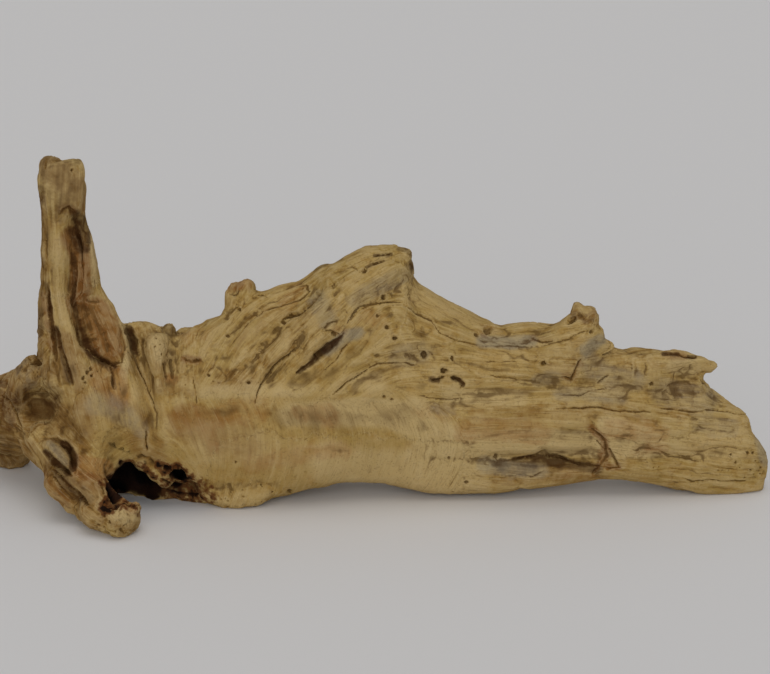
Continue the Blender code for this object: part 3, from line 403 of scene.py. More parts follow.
# Where the tints and the rot lie, some of them painted shade and highlight: pixels of radius, strength, then pixels
# along the patch. Broad patches are laid first and fine ones over them, so the order here doesn't matter
TINT_PATCHES = {
    # Iron and tannin, orange brown
    "warm": (
        (12, 1.0, ((100, 378), (112, 376), (118, 396))), (9, 1.2, ((80, 468), (90, 471), (104, 470))),
        (13, 0.55, ((184, 418), (206, 420), (230, 412), (258, 410))), (7, 0.6, ((206, 434), (214, 446))),
        (8, 0.7, ((322, 412), (330, 420))), (9, 0.6, ((250, 466), (290, 456), (320, 452), (345, 450))),
        (5, 0.9, ((167, 378), (174, 380))), (11, 0.7, ((466, 432), (500, 430), (540, 434))),
        (10, 0.7, ((612, 428), (660, 432))), (6, 0.6, ((650, 447), (664, 447))), (7, 0.7, ((232, 286), (246, 282))),
        (5, 0.7, ((336, 330), (344, 334))), (8, 0.5, ((300, 290), (286, 300))), (8, 0.5, ((186, 338), (200, 334))),
        (4, 0.7, ((668, 354), (684, 355))), (9, 0.5, ((568, 470), (590, 470))), (8, 0.5, ((366, 316), (380, 322))),
        (9, 0.4, ((420, 410), (450, 412))), (7, 0.9, ((122, 500), (132, 506))),
        (13, 1.3, ((96, 312), (106, 332), (110, 350))), (8, 1.4, ((84, 464), (94, 467), (104, 469))),
        (8, 0.7, ((300, 412), (330, 414))), (8, 0.9, ((98, 372), (108, 380), (112, 392))),
    ),
    # Reddish heartwood, laid bare
    "russet": (
        (8, 0.6, ((98, 304), (110, 322), (118, 340))), (10, 1.1, ((72, 236), (79, 256), (80, 280), (77, 304))),
        (7, 0.8, ((78, 312), (84, 334), (94, 352))), (6, 0.6, ((42, 474), (52, 488), (64, 502))),
        (4, 0.9, ((592, 428), (604, 441), (607, 455), (598, 468))), (5, 0.8, ((46, 296), (50, 326), (56, 350))),
        (4, 0.8, ((184, 359), (198, 360))), (8, 0.45, ((80, 478), (94, 484))), (3, 0.9, ((80, 475), (92, 477))),
        (11, 0.7, ((92, 312), (104, 330), (110, 350))), (5, 0.6, ((63, 209), (72, 210))),
        (3, 0.8, ((77, 456), (78, 466), (74, 476))), (8, 0.5, ((6, 380), (8, 400), (8, 424))),
        (5, 0.5, ((574, 314), (584, 320), (594, 314))), (5, 0.4, ((664, 355), (684, 356))),
        (5, 0.6, ((228, 290), (240, 284))), (4, 0.5, ((534, 338), (550, 341))), (6, 0.35, ((478, 334), (490, 330))),
        (4, 0.5, ((564, 376), (574, 378), (580, 364))), (6, 0.35, ((636, 450), (654, 448), (670, 456))),
        (4, 0.8, ((602, 452), (602, 464), (610, 467), (618, 466))),
    ),
    # Weathered skin that hasn't been rubbed off. Under the dome and in the valley below it, under the undercut's lip
    # and under the beak it is painted shade, and over the dome and the root at the left end it makes that end darker
    "brown": (
        # The first here is painted shade under the dome
        (11, 0.9, ((30, 420), (44, 414), (58, 420))), (15, 0.85, ((50, 165), (66, 180), (78, 200))),
        (6, 0.8, ((41, 200), (43, 240), (42, 290), (42, 340))), (10, 0.8, ((88, 240), (84, 270), (84, 300))),
        (22, 0.95, ((10, 375), (26, 372), (38, 386))), (22, 0.9, ((4, 405), (6, 440), (14, 460))),
        # The first here is painted shade in the valley below the dome
        (18, 0.85, ((46, 400), (64, 406), (76, 424))), (12, 0.6, ((50, 444), (64, 452), (70, 468))),
        (14, 0.75, ((56, 480), (76, 500), (94, 520))), (8, 0.6, ((232, 284), (246, 284))),
        # The second here is painted shade under the beak
        (10, 0.45, ((576, 308), (592, 318))), (10, 0.45, ((674, 390), (696, 390))),
        (12, 0.3, ((240, 340), (270, 312), (300, 292))), (10, 0.35, ((264, 366), (290, 340), (314, 312))),
        (8, 0.3, ((400, 250), (410, 262))), (10, 0.35, ((176, 366), (190, 372), (210, 372))),
        (9, 0.4, ((134, 336), (140, 356), (146, 372))), (10, 0.35, ((58, 206), (56, 240), (58, 300))),
        (12, 0.6, ((150, 340), (158, 356), (160, 380))), (12, 0.35, ((96, 380), (106, 400), (126, 420))),
        # The first here is painted shade under the undercut's lip
        (9, 0.35, ((484, 468), (516, 470), (548, 468))), (12, 0.35, ((560, 365), (600, 366), (640, 362))),
        (14, 0.35, ((640, 356), (676, 360))), (13, 0.95, ((62, 344), (68, 362), (72, 378))),
        (12, 0.95, ((30, 356), (42, 370), (46, 386))), (13, 0.85, ((68, 420), (84, 410), (88, 396))),
        (16, 0.75, ((132, 422), (142, 438), (150, 452))), (12, 0.7, ((172, 384), (196, 384), (220, 380), (246, 382))),
        (18, 0.55, ((190, 426), (226, 432), (246, 440))), (14, 0.95, ((56, 466), (72, 478), (92, 488), (104, 494))),
        (12, 0.7, ((116, 512), (126, 524), (134, 520))), (9, 0.5, ((478, 413), (520, 413), (600, 414), (680, 413))),
        # The first here is painted shade under the undercut's lip
        (9, 0.6, ((500, 476), (540, 474), (600, 476))), (10, 0.45, ((40, 392), (52, 388), (68, 394))),
        (5, 1.0, ((85, 250), (86, 270), (84, 292))), (6, 0.8, ((84, 350), (94, 352))),
        (6, 0.7, ((114, 367), (126, 369))), (7, 0.4, ((180, 382), (206, 384))), (8, 0.8, ((132, 504), (137, 526))),
        # The first here is painted shade in the valley below the dome
        (12, 0.8, ((58, 418), (68, 430), (78, 446))), (14, 0.85, ((184, 420), (212, 426), (216, 440))),
    ),
    # Damp or rotted wood, and dirt held in the cracks. Under the dome and in the valley below it, and under the
    # undercut's lip, it is painted shade, and over the dome and the root at the left end it makes that end darker
    "dark": (
        (3.5, 0.32, ((512, 431), (524, 429), (535, 430))), (3.5, 0.36, ((561, 431), (574, 432), (586, 434))),
        (5, 1.0, ((76, 216), (81, 228), (83, 242))), (3.2, 1.0, ((46, 452), (55, 462), (68, 473))),
        # The second here is painted shade under the dome
        (2.5, 0.8, ((56, 472), (68, 485), (84, 500))), (11, 0.9, ((20, 402), (36, 406), (50, 412))),
        (10, 0.5, ((0, 386), (4, 420), (6, 460))), (4, 0.8, ((176, 468), (180, 476))),
        (5, 0.45, ((166, 488), (184, 490), (200, 490))),
        (2.2, 0.95, ((298, 373), (311, 363), (325, 351), (341, 337))),
        (4, 0.75, ((313, 360), (323, 351), (334, 343))), (1.5, 0.9, ((374, 256), (383, 255), (391, 254))),
        (1.3, 0.7, ((366, 267), (374, 264), (384, 261))), (2.5, 0.7, ((313, 269), (326, 263), (341, 258))),
        (2.5, 0.7, ((399, 249), (407, 250), (411, 255))), (3, 0.8, ((411, 262), (412, 268))),
        (2, 0.9, ((663, 354), (678, 354))), (2, 0.9, ((688, 357), (695, 357))),
        (2.0, 0.45, ((476, 461), (490, 462), (504, 461))),
        (2.4, 0.8, ((514, 459), (528, 457), (544, 456), (560, 458), (576, 463), (596, 467))),
        (4, 0.5, ((48, 156), (64, 158), (78, 162))), (3, 0.6, ((40, 188), (42, 202))),
        (2.6, 0.9, ((56, 328), (60, 346), (65, 364), (71, 382))), (2.4, 0.7, ((47, 284), (50, 312), (53, 338))),
        (6, 0.7, ((167, 328), (172, 332))), (5, 0.4, ((576, 316), (590, 320))),
        (3.5, 0.9, ((129, 328), (132, 338), (135, 352))), (17, 0.46, ((54, 168), (60, 184), (60, 204))),
        (5, 0.4, ((42, 200), (43, 240), (42, 290))), (2.5, 0.6, ((110, 366), (113, 378), (114, 388))),
        (10, 0.3, ((24, 366), (34, 380), (44, 392))), (7, 0.45, ((172, 472), (190, 482), (204, 488))),
        (4.5, 1.0, ((80, 330), (85, 343), (92, 354), (102, 362), (112, 367))),
        (5, 0.9, ((72, 232), (76, 238), (79, 248))),
        (2.5, 0.8, ((73, 254), (75, 276), (73, 300), (78, 322), (84, 342))),
        (1.4, 0.35, ((262, 407), (275, 415), (281, 430), (281, 450), (275, 465))),
        (1.4, 0.3, ((248, 408), (255, 422), (258, 440), (256, 456))),
        (1.4, 0.25, ((318, 428), (324, 440), (322, 452), (314, 462))),
        (1.3, 0.3, ((352, 446), (344, 454), (338, 462))), (1.3, 0.25, ((376, 450), (370, 458))),
        (1.3, 0.25, ((400, 448), (393, 458))), (1.4, 0.25, ((440, 440), (436, 454), (428, 464))),
        # Both here are painted shade: under the dome, and under the undercut's lip
        (9, 0.35, ((30, 404), (44, 410), (54, 420))), (9, 0.34, ((500, 468), (524, 468), (556, 466))),
        # The first here is painted shade under the undercut's lip
        (5, 0.8, ((536, 461), (548, 460), (562, 463), (580, 466), (598, 469))), (5, 0.6, ((40, 312), (39, 332))),
        (3.4, 1.3, ((64, 444), (70, 450), (74, 458), (73, 468))), (9, 0.4, ((52, 468), (66, 482), (84, 498))),
        # The second here is painted shade under the dome
        (12, 0.34, ((34, 358), (50, 368), (64, 372))), (9, 0.6, ((26, 392), (42, 394), (54, 396))),
        # The first here is painted shade in the valley below the dome
        (10, 0.4, ((58, 416), (68, 424), (76, 434))), (8, 0.34, ((60, 448), (72, 462))),
        (2.2, 0.8, ((431, 380), (438, 380))), (2.4, 0.9, ((453, 378), (460, 380), (463, 385))),
        # The second here is painted shade under the undercut's lip
        (3.5, 0.9, ((83, 218), (87, 232), (87, 250))), (4, 1.0, ((546, 460), (560, 463))),
    ),
    # Brown crumbled wood, which goes to black painted shade where it is deep
    "rot_and_shade": (
        (7, 1.0, ((113, 484), (118, 492), (112, 502), (107, 508))), (9, 0.5, ((168, 488), (182, 486), (196, 490))),
        (5, 0.55, ((168, 497), (184, 497), (198, 497))), (5, 0.7, ((160, 465), (166, 470), (178, 468), (184, 478))),
        (7, 0.45, ((190, 480), (202, 486), (212, 496))), (4, 0.5, ((116, 508), (124, 503), (134, 510), (141, 513))),
        (3, 0.45, ((101, 483), (112, 477), (119, 470), (122, 461), (134, 462), (143, 466), (151, 474), (160, 484))),
    ),
    # Silvered by fungus and the sun
    "grey": (
        (11, 0.6, ((96, 404), (112, 406), (122, 414))), (8, 0.6, ((132, 420), (142, 430))),
        (9, 0.5, ((354, 300), (372, 290), (392, 281), (406, 274))), (10, 0.6, ((318, 300), (326, 318))),
        (6, 1.0, ((328, 350), (344, 337), (358, 333))), (6, 1.0, ((482, 341), (510, 343), (532, 341))),
        (6, 1.0, ((586, 350), (600, 340))), (12, 0.6, ((590, 366), (612, 378), (634, 380))),
        (7, 0.6, ((538, 381), (556, 377))), (7, 0.6, ((560, 394), (590, 394), (620, 398))),
        (13, 0.55, ((664, 392), (690, 396), (708, 400))), (8, 0.8, ((484, 464), (510, 469), (540, 470))),
        (7, 0.8, ((762, 440), (766, 458))), (4, 0.7, ((50, 444), (58, 452), (64, 462))),
        (12, 0.5, ((400, 356), (420, 352))), (10, 0.5, ((700, 424), (730, 428))), (10, 0.4, ((18, 360), (30, 380))),
        (6, 0.5, ((436, 408), (452, 410))),
    ),
    # Rubbed pale by sand and water. Along the ledge it is painted light: a highlight on its top edge, and the shade
    # under it laid paler
    "pale": (
        (12, 0.9, ((408, 426), (432, 430), (448, 434))), (20, 0.9, ((330, 462), (370, 472), (410, 470), (470, 458))),
        (10, 0.7, ((360, 382), (376, 382))), (10, 0.8, ((430, 488), (480, 489))), (8, 0.9, ((676, 366), (692, 367))),
        # Painted light: the shaded underside of the ledge laid paler
        (11, 1.4, ((352, 410), (380, 413), (410, 419), (424, 424))),
        # A painted highlight along the ledge's top edge
        (7, 0.7, ((206, 393), (240, 391), (280, 390), (300, 391))),
        (6, 0.45, ((55, 236), (57, 270), (60, 300), (63, 320))), (10, 0.7, ((158, 344), (163, 354))),
        (8, 0.9, ((116, 512), (128, 518), (136, 512))), (6, 0.4, ((84, 484), (98, 498))),
        # The first here is painted light: the shaded underside of the ledge laid paler
        (12, 1.0, ((290, 414), (330, 413), (372, 415), (420, 410))), (14, 0.5, ((430, 290), (470, 315))),
        (12, 0.4, ((226, 330), (210, 350))), (12, 0.5, ((700, 440), (740, 440))),
        (3, 1.0, ((91, 232), (93, 258), (94, 284))), (3, 1.2, ((84, 300), (92, 298), (102, 302), (110, 311))),
        (8, 0.9, ((452, 461), (478, 462), (504, 463))),
        (3.5, 1.0, ((119, 321), (125, 332), (129, 344), (128, 356), (124, 370), (123, 392))),
        (11, 1.25, ((430, 446), (480, 445), (530, 441), (590, 444), (650, 445))),
        (13, 0.75, ((650, 442), (700, 446), (730, 446))), (8, 0.8, ((448, 396), (480, 398), (520, 398))),
        (9, 1.1, ((606, 424), (622, 428), (640, 436), (650, 444))), (8, 0.5, ((400, 284), (420, 300))),
    ),
}


# Camera

def camera_frame():
    """The camera's place, and its right, up and back directions."""
    tilt = math.radians(ELEVATION)
    back = Vector((0, -math.cos(tilt), math.sin(tilt)))
    right = Vector((1, 0, 0))
    return Vector(TARGET) + DISTANCE * back, right, back.cross(right), back


def to_pixels(points):
    """Where the camera sees each point, in pixels of the photograph's frame."""
    place, right, up, back = camera_frame()
    away = points - np.array(place)
    depth = -away @ np.array(back)
    across = IMAGE_WIDTH / 2 + FOCAL_PIXELS * (away @ np.array(right)) / depth
    down = IMAGE_HEIGHT / 2 - FOCAL_PIXELS * (away @ np.array(up)) / depth
    return np.column_stack([across, down])


def pixel_ray(pixel):
    place, right, up, back = camera_frame()
    across = (pixel[0] - IMAGE_WIDTH / 2) / FOCAL_PIXELS
    down = (pixel[1] - IMAGE_HEIGHT / 2) / FOCAL_PIXELS
    return place, (across * right - down * up - back).normalized()


def make_camera():
    place, right, up, back = camera_frame()
    lens = bpy.data.cameras.new("camera")
    lens.sensor_width = SENSOR
    lens.lens = SENSOR * FOCAL_PIXELS / IMAGE_WIDTH
    lens.clip_end = 50
    camera = bpy.data.objects.new("camera", lens)
    camera.matrix_world = Matrix.Translation(place) @ Matrix((right, up, back)).transposed().to_4x4()
    bpy.context.scene.collection.objects.link(camera)
    bpy.context.scene.camera = camera


# Meshes as numbers

def read_points(mesh):
    points = np.empty(len(mesh.vertices) * 3)
    mesh.vertices.foreach_get("co", points)
    return points.reshape(-1, 3)


def read_normals(mesh):
    normals = np.empty(len(mesh.vertices) * 3)
    mesh.vertex_normals.foreach_get("vector", normals)
    return normals.reshape(-1, 3)


def write_points(mesh, points):
    mesh.vertices.foreach_set("co", points.ravel())
    mesh.update()


def write_attribute(mesh, name, values):
    kind = "FLOAT" if values.ndim == 1 else "FLOAT_VECTOR"
    layer = mesh.attributes.get(name) or mesh.attributes.new(name, kind, "POINT")
    layer.data.foreach_set("value" if values.ndim == 1 else "vector", values.astype(np.float32).ravel())


def soften(mesh, values, passes):
    """The values, each drawn halfway to the mean of its neighbours, as often as passes says."""
    ends = np.empty(len(mesh.edges) * 2, np.int64)
    mesh.edges.foreach_get("vertices", ends)
    near, far = ends.reshape(-1, 2).T
    count = len(mesh.vertices)
    share = 1 / np.maximum(np.bincount(near, minlength=count) + np.bincount(far, minlength=count), 1)
    columns = list(np.atleast_2d(values.T))
    for _ in range(passes):
        for index, column in enumerate(columns):
            total = np.bincount(near, column[far], count) + np.bincount(far, column[near], count)
            columns[index] = (column + total * share) / 2
    return np.array(columns).T.reshape(values.shape)


def apply_modifiers(obj):
    graph = bpy.context.evaluated_depsgraph_get()
    mesh = bpy.data.meshes.new_from_object(obj.evaluated_get(graph))
    obj.modifiers.clear()
    obj.data = mesh


def smooth_step(values):
    values = np.clip(values, 0, 1)
    return values * values * (3 - 2 * values)


# One skin over the five solids

def drop_crumbs(bm):
    """Leaves only the largest of the separate bodies."""
    unseen = set(bm.verts)
    bodies = []
    while unseen:
        reached = [unseen.pop()]
        for vert in reached:
            for edge in vert.link_edges:
                other = edge.other_vert(vert)
                if other in unseen:
                    unseen.discard(other)
                    reached.append(other)
        bodies.append(reached)
    bodies.sort(key=len)
    for crumb in bodies[:-1]:
        bmesh.ops.delete(bm, geom=crumb, context="VERTS")


def grown_skin():
    """The solids run into each other at the forks, then one fine skin over them all, with no facets left."""
    bm = bmesh.new()
    heading = {fork.node: fork for fork in FORKS}
    for name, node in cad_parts.items():
        before = len(bm.verts)
        bm.from_mesh(node.data)
        bm.verts.ensure_lookup_table()
        added = bm.verts[before:]
        fork = heading.get(name)
        if fork:
            along = Vector(fork.heading).normalized()
            for vert in added:
                if abs((vert.co - Vector(fork.at)).dot(along)) < MM:
                    vert.co -= FORK_OVERLAP * along
        bmesh.ops.remove_doubles(bm, verts=added, dist=1e-6)
        bm.verts.ensure_lookup_table()
    for pixel, depth, half in LUMPS:
        start, way = pixel_ray(pixel)
        centre = start + (depth * MM - start.y) / way.y * way
        shape = Matrix.Translation(centre) @ Matrix.Diagonal((*(size * MM for size in half), 1.0))
        bmesh.ops.create_icosphere(bm, subdivisions=3, radius=1.0, matrix=shape)
    mesh = bpy.data.meshes.new("skin")
    bm.to_mesh(mesh)
    bm.free()
    skin = bpy.data.objects.new("skin", mesh)
    bpy.context.scene.collection.objects.link(skin)
    grow = skin.modifiers.new("grow together", "REMESH")
    grow.mode = "VOXEL"
    grow.voxel_size = VOXEL
    smooth = skin.modifiers.new("smooth", "SMOOTH")
    smooth.factor = 0.5
    smooth.iterations = SMOOTH_PASSES
    apply_modifiers(skin)
    bm = bmesh.new()
    bm.from_mesh(skin.data)
    drop_crumbs(bm)
    bm.to_mesh(skin.data)
    bm.free()
    return skin


def tree_of(mesh):
    mesh.calc_loop_triangles()
    corners = np.empty(len(mesh.loop_triangles) * 3, np.int64)
    mesh.loop_triangles.foreach_get("vertices", corners)
    return BVHTree.FromPolygons(read_points(mesh).tolist(), corners.reshape(-1, 3).tolist())


def seen_from_camera(mesh, bvh):
    """From 0 to 1, how well the camera sees each point. Points behind another part of the wood are 0."""
    points, normals = read_points(mesh), read_normals(mesh)
    place = camera_frame()[0]
    to_camera = np.array(place) - points
    to_camera /= np.linalg.norm(to_camera, axis=1)[:, None]
    facing = smooth_step(((normals * to_camera).sum(axis=1) - FACING_FROM) / FACING_OVER)
    for index in np.nonzero(facing > 0)[0]:
        start = Vector(points[index]) + CLEAR_OF_SKIN * Vector(to_camera[index])
        if bvh.ray_cast(start, Vector(to_camera[index]), DISTANCE)[0] is not None:
            facing[index] = 0
    return facing


# Marks, holes and stains, which lie where the photograph shows them

def reach_of(flat, line):
    """For each pixel: how far it is from the line, and on which side, and how far along the line, from 0 to 1."""
    line = np.array(line, float)
    lengths = np.linalg.norm(np.diff(line, axis=0), axis=1)
    starts = np.concatenate([[0], np.cumsum(lengths)])
    gap = np.full(len(flat), np.inf)
    along = np.zeros(len(flat))
    side = np.ones(len(flat))
    for start, end, length, begun in zip(line, line[1:], lengths, starts):
        step = (end - start) / length
        away = flat - start
        t = np.clip(away @ step, 0, length)
        off = np.linalg.norm(away - t[:, None] * step, axis=1)
        closer = off < gap
        gap[closer] = off[closer]
        along[closer] = (begun + t[closer]) / starts[-1]
        side[closer] = np.sign(away[closer, 0] * step[1] - away[closer, 1] * step[0])
    return gap, side, along


def nudge_skin(mesh, bvh):
    """Pulls the skin about in the camera's plane, most where a nudge says and less towards its radius."""
    _, right, up, back = camera_frame()
    points = read_points(mesh)
    for pixel, radius, (across, rise) in NUDGES:
        hit = bvh.ray_cast(*pixel_ray(pixel))[0]
        if hit is None:
            raise ValueError(f"nudge at {pixel} misses the wood")
        away = points - np.array(hit)
        gap = np.sqrt((away @ np.array(right)) ** 2 + (away @ np.array(up)) ** 2 + (away @ np.array(back) / 2) ** 2)
        share = smooth_step(1.15 * (1 - gap / (radius * MM)))
        points += share[:, None] * (across * np.array(right) + rise * np.array(up)) * MM
    points[:, 2] = np.maximum(points[:, 2], 0)
    write_points(mesh, points)


def gnaw_rim(mesh):
    """Eats the hollow's rim away in ragged bites, and leaves tongues of wood between them."""
    points = read_points(mesh)
    for centre, half in HOLLOWS:
        away = (points - centre) / half
        reach = np.linalg.norm(away[:, [0, 2]], axis=1)
        near = np.nonzero((np.abs(reach - 1) < RIM_BAND) & (away[:, 1] < RIM_BACK) & (points[:, 2] > 2 * MM))[0]
        bite = np.array([noise.noise(Vector(points[i]) / RIM_BITE_WIDTH) for i in near])
        share = smooth_step(1 - np.abs(reach[near] - 1) / RIM_BAND) * smooth_step((RIM_BACK - away[near, 1]) / 0.4)
        push = away[near] * (1, 0, 1)
        push /= np.maximum(np.linalg.norm(push, axis=1), 1e-6)[:, None]
        points[near] += push * (share * RIM_BITE * (bite - 0.1))[:, None]
    points[:, 2] = np.maximum(points[:, 2], 0)
    write_points(mesh, points)


def ease_creases(mesh, seen):
    """Smooths the skin over the creases that the wood doesn't have."""
    points = read_points(mesh)
    share = painted_areas(to_pixels(points), seen, EASED_AREAS, 0, 0)
    write_points(mesh, points + share[:, None] * (soften(mesh, points, EASE_PASSES) - points))


def near_line(pixels, line, reach):
    """The indices of the pixels within reach of the line's box."""
    line = np.array(line, float)
    low, high = line.min(axis=0) - reach, line.max(axis=0) + reach
    return np.nonzero(((pixels > low) & (pixels < high)).all(axis=1))[0]


def mark_depth(mark, gap, side, along):
    """How deep a mark is, from 0 to 1, at a distance from its line. It thins out towards both ends."""
    taper = np.clip(5 * np.minimum(along, 1 - along) + 0.25, 0, 1)
    width = mark.width * (0.55 + 0.45 * taper)
    if mark.kind == "groove":
        return smooth_step(1 - gap / (1.5 * width)) * taper
    if mark.kind == "crack":
        return np.clip(1.25 * (1 - gap / width), 0, 1) * taper
    if mark.kind == "pit":
        return smooth_step(1.5 * (1 - gap / width))
    steep = smooth_step(1 - gap / (0.30 * width))
    gentle = np.clip(1 - gap / (1.6 * width), 0, 1) ** 1.6
    return np.where(side > 0, steep, gentle) * taper


def wavering(pixels):
    """The pixels pushed about a little, so that no mark has a drawn edge."""
    pushed = pixels.copy()
    for size, push, seed in WAVERS:
        way = [noise.noise_vector(Vector((x / size, y / size, seed))) for x, y in pixels]
        pushed += push * np.array(way)[:, :2]
    return pushed


def carve(mesh, places, shown, marks, holes):
    """Sinks marks and holes into the skin. Places are where its points lie, in pixels or millimetres."""
    front = np.nonzero(shown > 0)[0]
    flat = wavering(places[front])
    strength = {}
    for kinds, size in MARK_STRETCHES:
        patches = np.array([noise.noise(Vector((x / size, y / size, MARK_SEED))) for x, y in flat])
        strength.update(dict.fromkeys(kinds, MARK_LEAST + MARK_MORE * smooth_step(0.65 + 1.3 * patches)))
    sunk = np.zeros(len(front))
    for mark in marks:
        close = near_line(flat, mark.line, 1.7 * mark.width)
        gap, side, along = reach_of(flat[close], mark.line)
        sunk[close] += mark.depth * MM * mark_depth(mark, gap, side, along) * strength[mark.kind][close]
    for x, y, radius, depth in holes:
        close = near_line(flat, ((x, y),), 1.3 * radius)
        gap = np.linalg.norm(flat[close] - (x, y), axis=1)
        sunk[close] = np.maximum(sunk[close], depth * MM * smooth_step(1.7 * (1 - gap / (1.25 * radius))))
    normals = soften(mesh, read_normals(mesh), 4)[front]
    points = read_points(mesh)
    points[front] -= normals * (sunk * shown[front])[:, None]
    write_points(mesh, points)


def carve_marks(mesh, seen):
    carve(mesh, to_pixels(read_points(mesh)), seen, MARKS.values(), HOLES)
    behind = smooth_step(1.6 * read_normals(mesh)[:, 1]) * (seen == 0)
    carve(mesh, read_points(mesh)[:, [0, 2]] / MM, behind, BACK_MARKS, BACK_HOLES)


def painted_areas(pixels, seen, areas, base, hidden):
    """A value over the wood: the base and the areas where the camera sees it, the hidden value elsewhere."""
    front = np.nonzero(seen > 0)[0]
    value = np.full(len(front), float(base))
    for radius, strength, line in areas:
        close = near_line(pixels[front], line, AREA_FADE * radius)
        gap = reach_of(pixels[front][close], line)[0]
        share = smooth_step(AREA_FADE - gap / radius)
        value[close] += (strength - value[close]) * share
    whole = np.full(len(pixels), float(hidden))
    whole[front] += (value - hidden) * smooth_step(2 * seen[front])
    return whole


# Grain

def placed_line(bvh, line):
    """A line of pixels, laid on the wood. Pixels that miss it are passed over."""
    placed = []
    for pixel in line:
        hit = bvh.ray_cast(*pixel_ray(pixel))[0]
        if hit is not None:
            placed.append(np.array(hit))
    return placed


def grain_way(points, segments):
    """The way the grain runs at each point: a blend of the segments round it, whichever end they start from."""
    spread = np.zeros((len(points), 6), np.float32)
    for start, end in segments:
        step = end - start
        length = np.linalg.norm(step)
        away = points - start.astype(np.float32)
        t = np.clip(away @ (step / length**2).astype(np.float32), 0, 1)
        gap = ((away - t[:, None] * step.astype(np.float32)) ** 2).sum(axis=1)
        share = 1 / (gap + GRAIN_SPREAD**2) ** 2
        x, y, z = step / length
        spread += share[:, None] * np.array((x * x, x * y, x * z, y * y, y * z, z * z), np.float32)
    way = np.tile(np.array((1.0, 0.1, 0.1)), (len(points), 1))
    xx, xy, xz, yy, yz, zz = (spread / spread[:, [0, 3, 5]].sum(axis=1)[:, None]).T
    for _ in range(GRAIN_TURNS):
        x, y, z = way.T
        way = np.column_stack([xx * x + xy * y + xz * z, xy * x + yy * y + yz * z, xz * x + yz * y + zz * z])
        way /= np.linalg.norm(way, axis=1)[:, None]
    return way


def grain_attributes(mesh, segments):
    """Writes which way the grain runs, along the surface, and how it bends."""
    points = read_points(mesh).astype(np.float32)
    normals = read_normals(mesh)
    way = grain_way(points, segments)
    way -= (way * normals).sum(axis=1)[:, None] * normals
    way /= np.maximum(np.linalg.norm(way, axis=1), 1e-3)[:, None]
    ahead = grain_way((points + BEND_STEP * way).astype(np.float32), segments)
    behind = grain_way((points - BEND_STEP * way).astype(np.float32), segments)
    ahead *= np.sign((ahead * way).sum(axis=1))[:, None]
    behind *= np.sign((behind * way).sum(axis=1))[:, None]
    write_attribute(mesh, "grain", way)
    write_attribute(mesh, "bend", (ahead - behind) / (2 * BEND_STEP))


# Nodes

def add(tree, kind, inputs=None, **settings):
    """Adds a node with its settings, and links or sets its inputs."""
    node = tree.nodes.new(kind)
    for name, value in settings.items():
        setattr(node, name, value)
    for key, value in (inputs or {}).items():
        if isinstance(value, bpy.types.NodeSocket):
            tree.links.new(value, node.inputs[key])
        else:
            node.inputs[key].default_value = value
    return node


def maths(tree, operation, *values, clamp=False):
    return add(tree, "ShaderNodeMath", dict(enumerate(values)), operation=operation, use_clamp=clamp).outputs[0]


def drawn_noise(tree, place, way, bend, width, reach, taps, seed):
    """Noise of that width, from about -1 to 1, drawn out along the grain as far as reach each way."""
    start = add(tree, "ShaderNodeCombineXYZ", {0: seed}).outputs[0]
    start = add(tree, "ShaderNodeVectorMath", {0: place, 1: start}, operation="ADD").outputs[0]
    scale = maths(tree, "DIVIDE", 1.0, width)
    total = None
    for step in np.linspace(-1, 1, taps):
        far = maths(tree, "MULTIPLY", reach, float(step))
        curve = maths(tree, "MULTIPLY", maths(tree, "MULTIPLY", far, far), 0.5)
        moved = add(tree, "ShaderNodeVectorMath", {0: way, 1: far, 2: start}, operation="MULTIPLY_ADD").outputs[0]
        moved = add(tree, "ShaderNodeVectorMath", {0: bend, 1: curve, 2: moved}, operation="MULTIPLY_ADD").outputs[0]
        tap = add(tree, "ShaderNodeTexNoise", {"Vector": moved, "Scale": scale, "Detail": 0.0}).outputs[0]
        total = tap if total is None else maths(tree, "ADD", total, tap)
    mean = maths(tree, "SUBTRACT", maths(tree, "DIVIDE", total, float(taps)), 0.5)
    return maths(tree, "MULTIPLY", mean, NOISE_GAIN)


def hairlines(tree, drawn, steepness):
    """Lines where a drawn noise goes through 0: 1 on the line and 0 off it."""
    off = maths(tree, "MULTIPLY", maths(tree, "ABSOLUTE", drawn), steepness)
    return maths(tree, "SUBTRACT", 1.0, off, clamp=True)


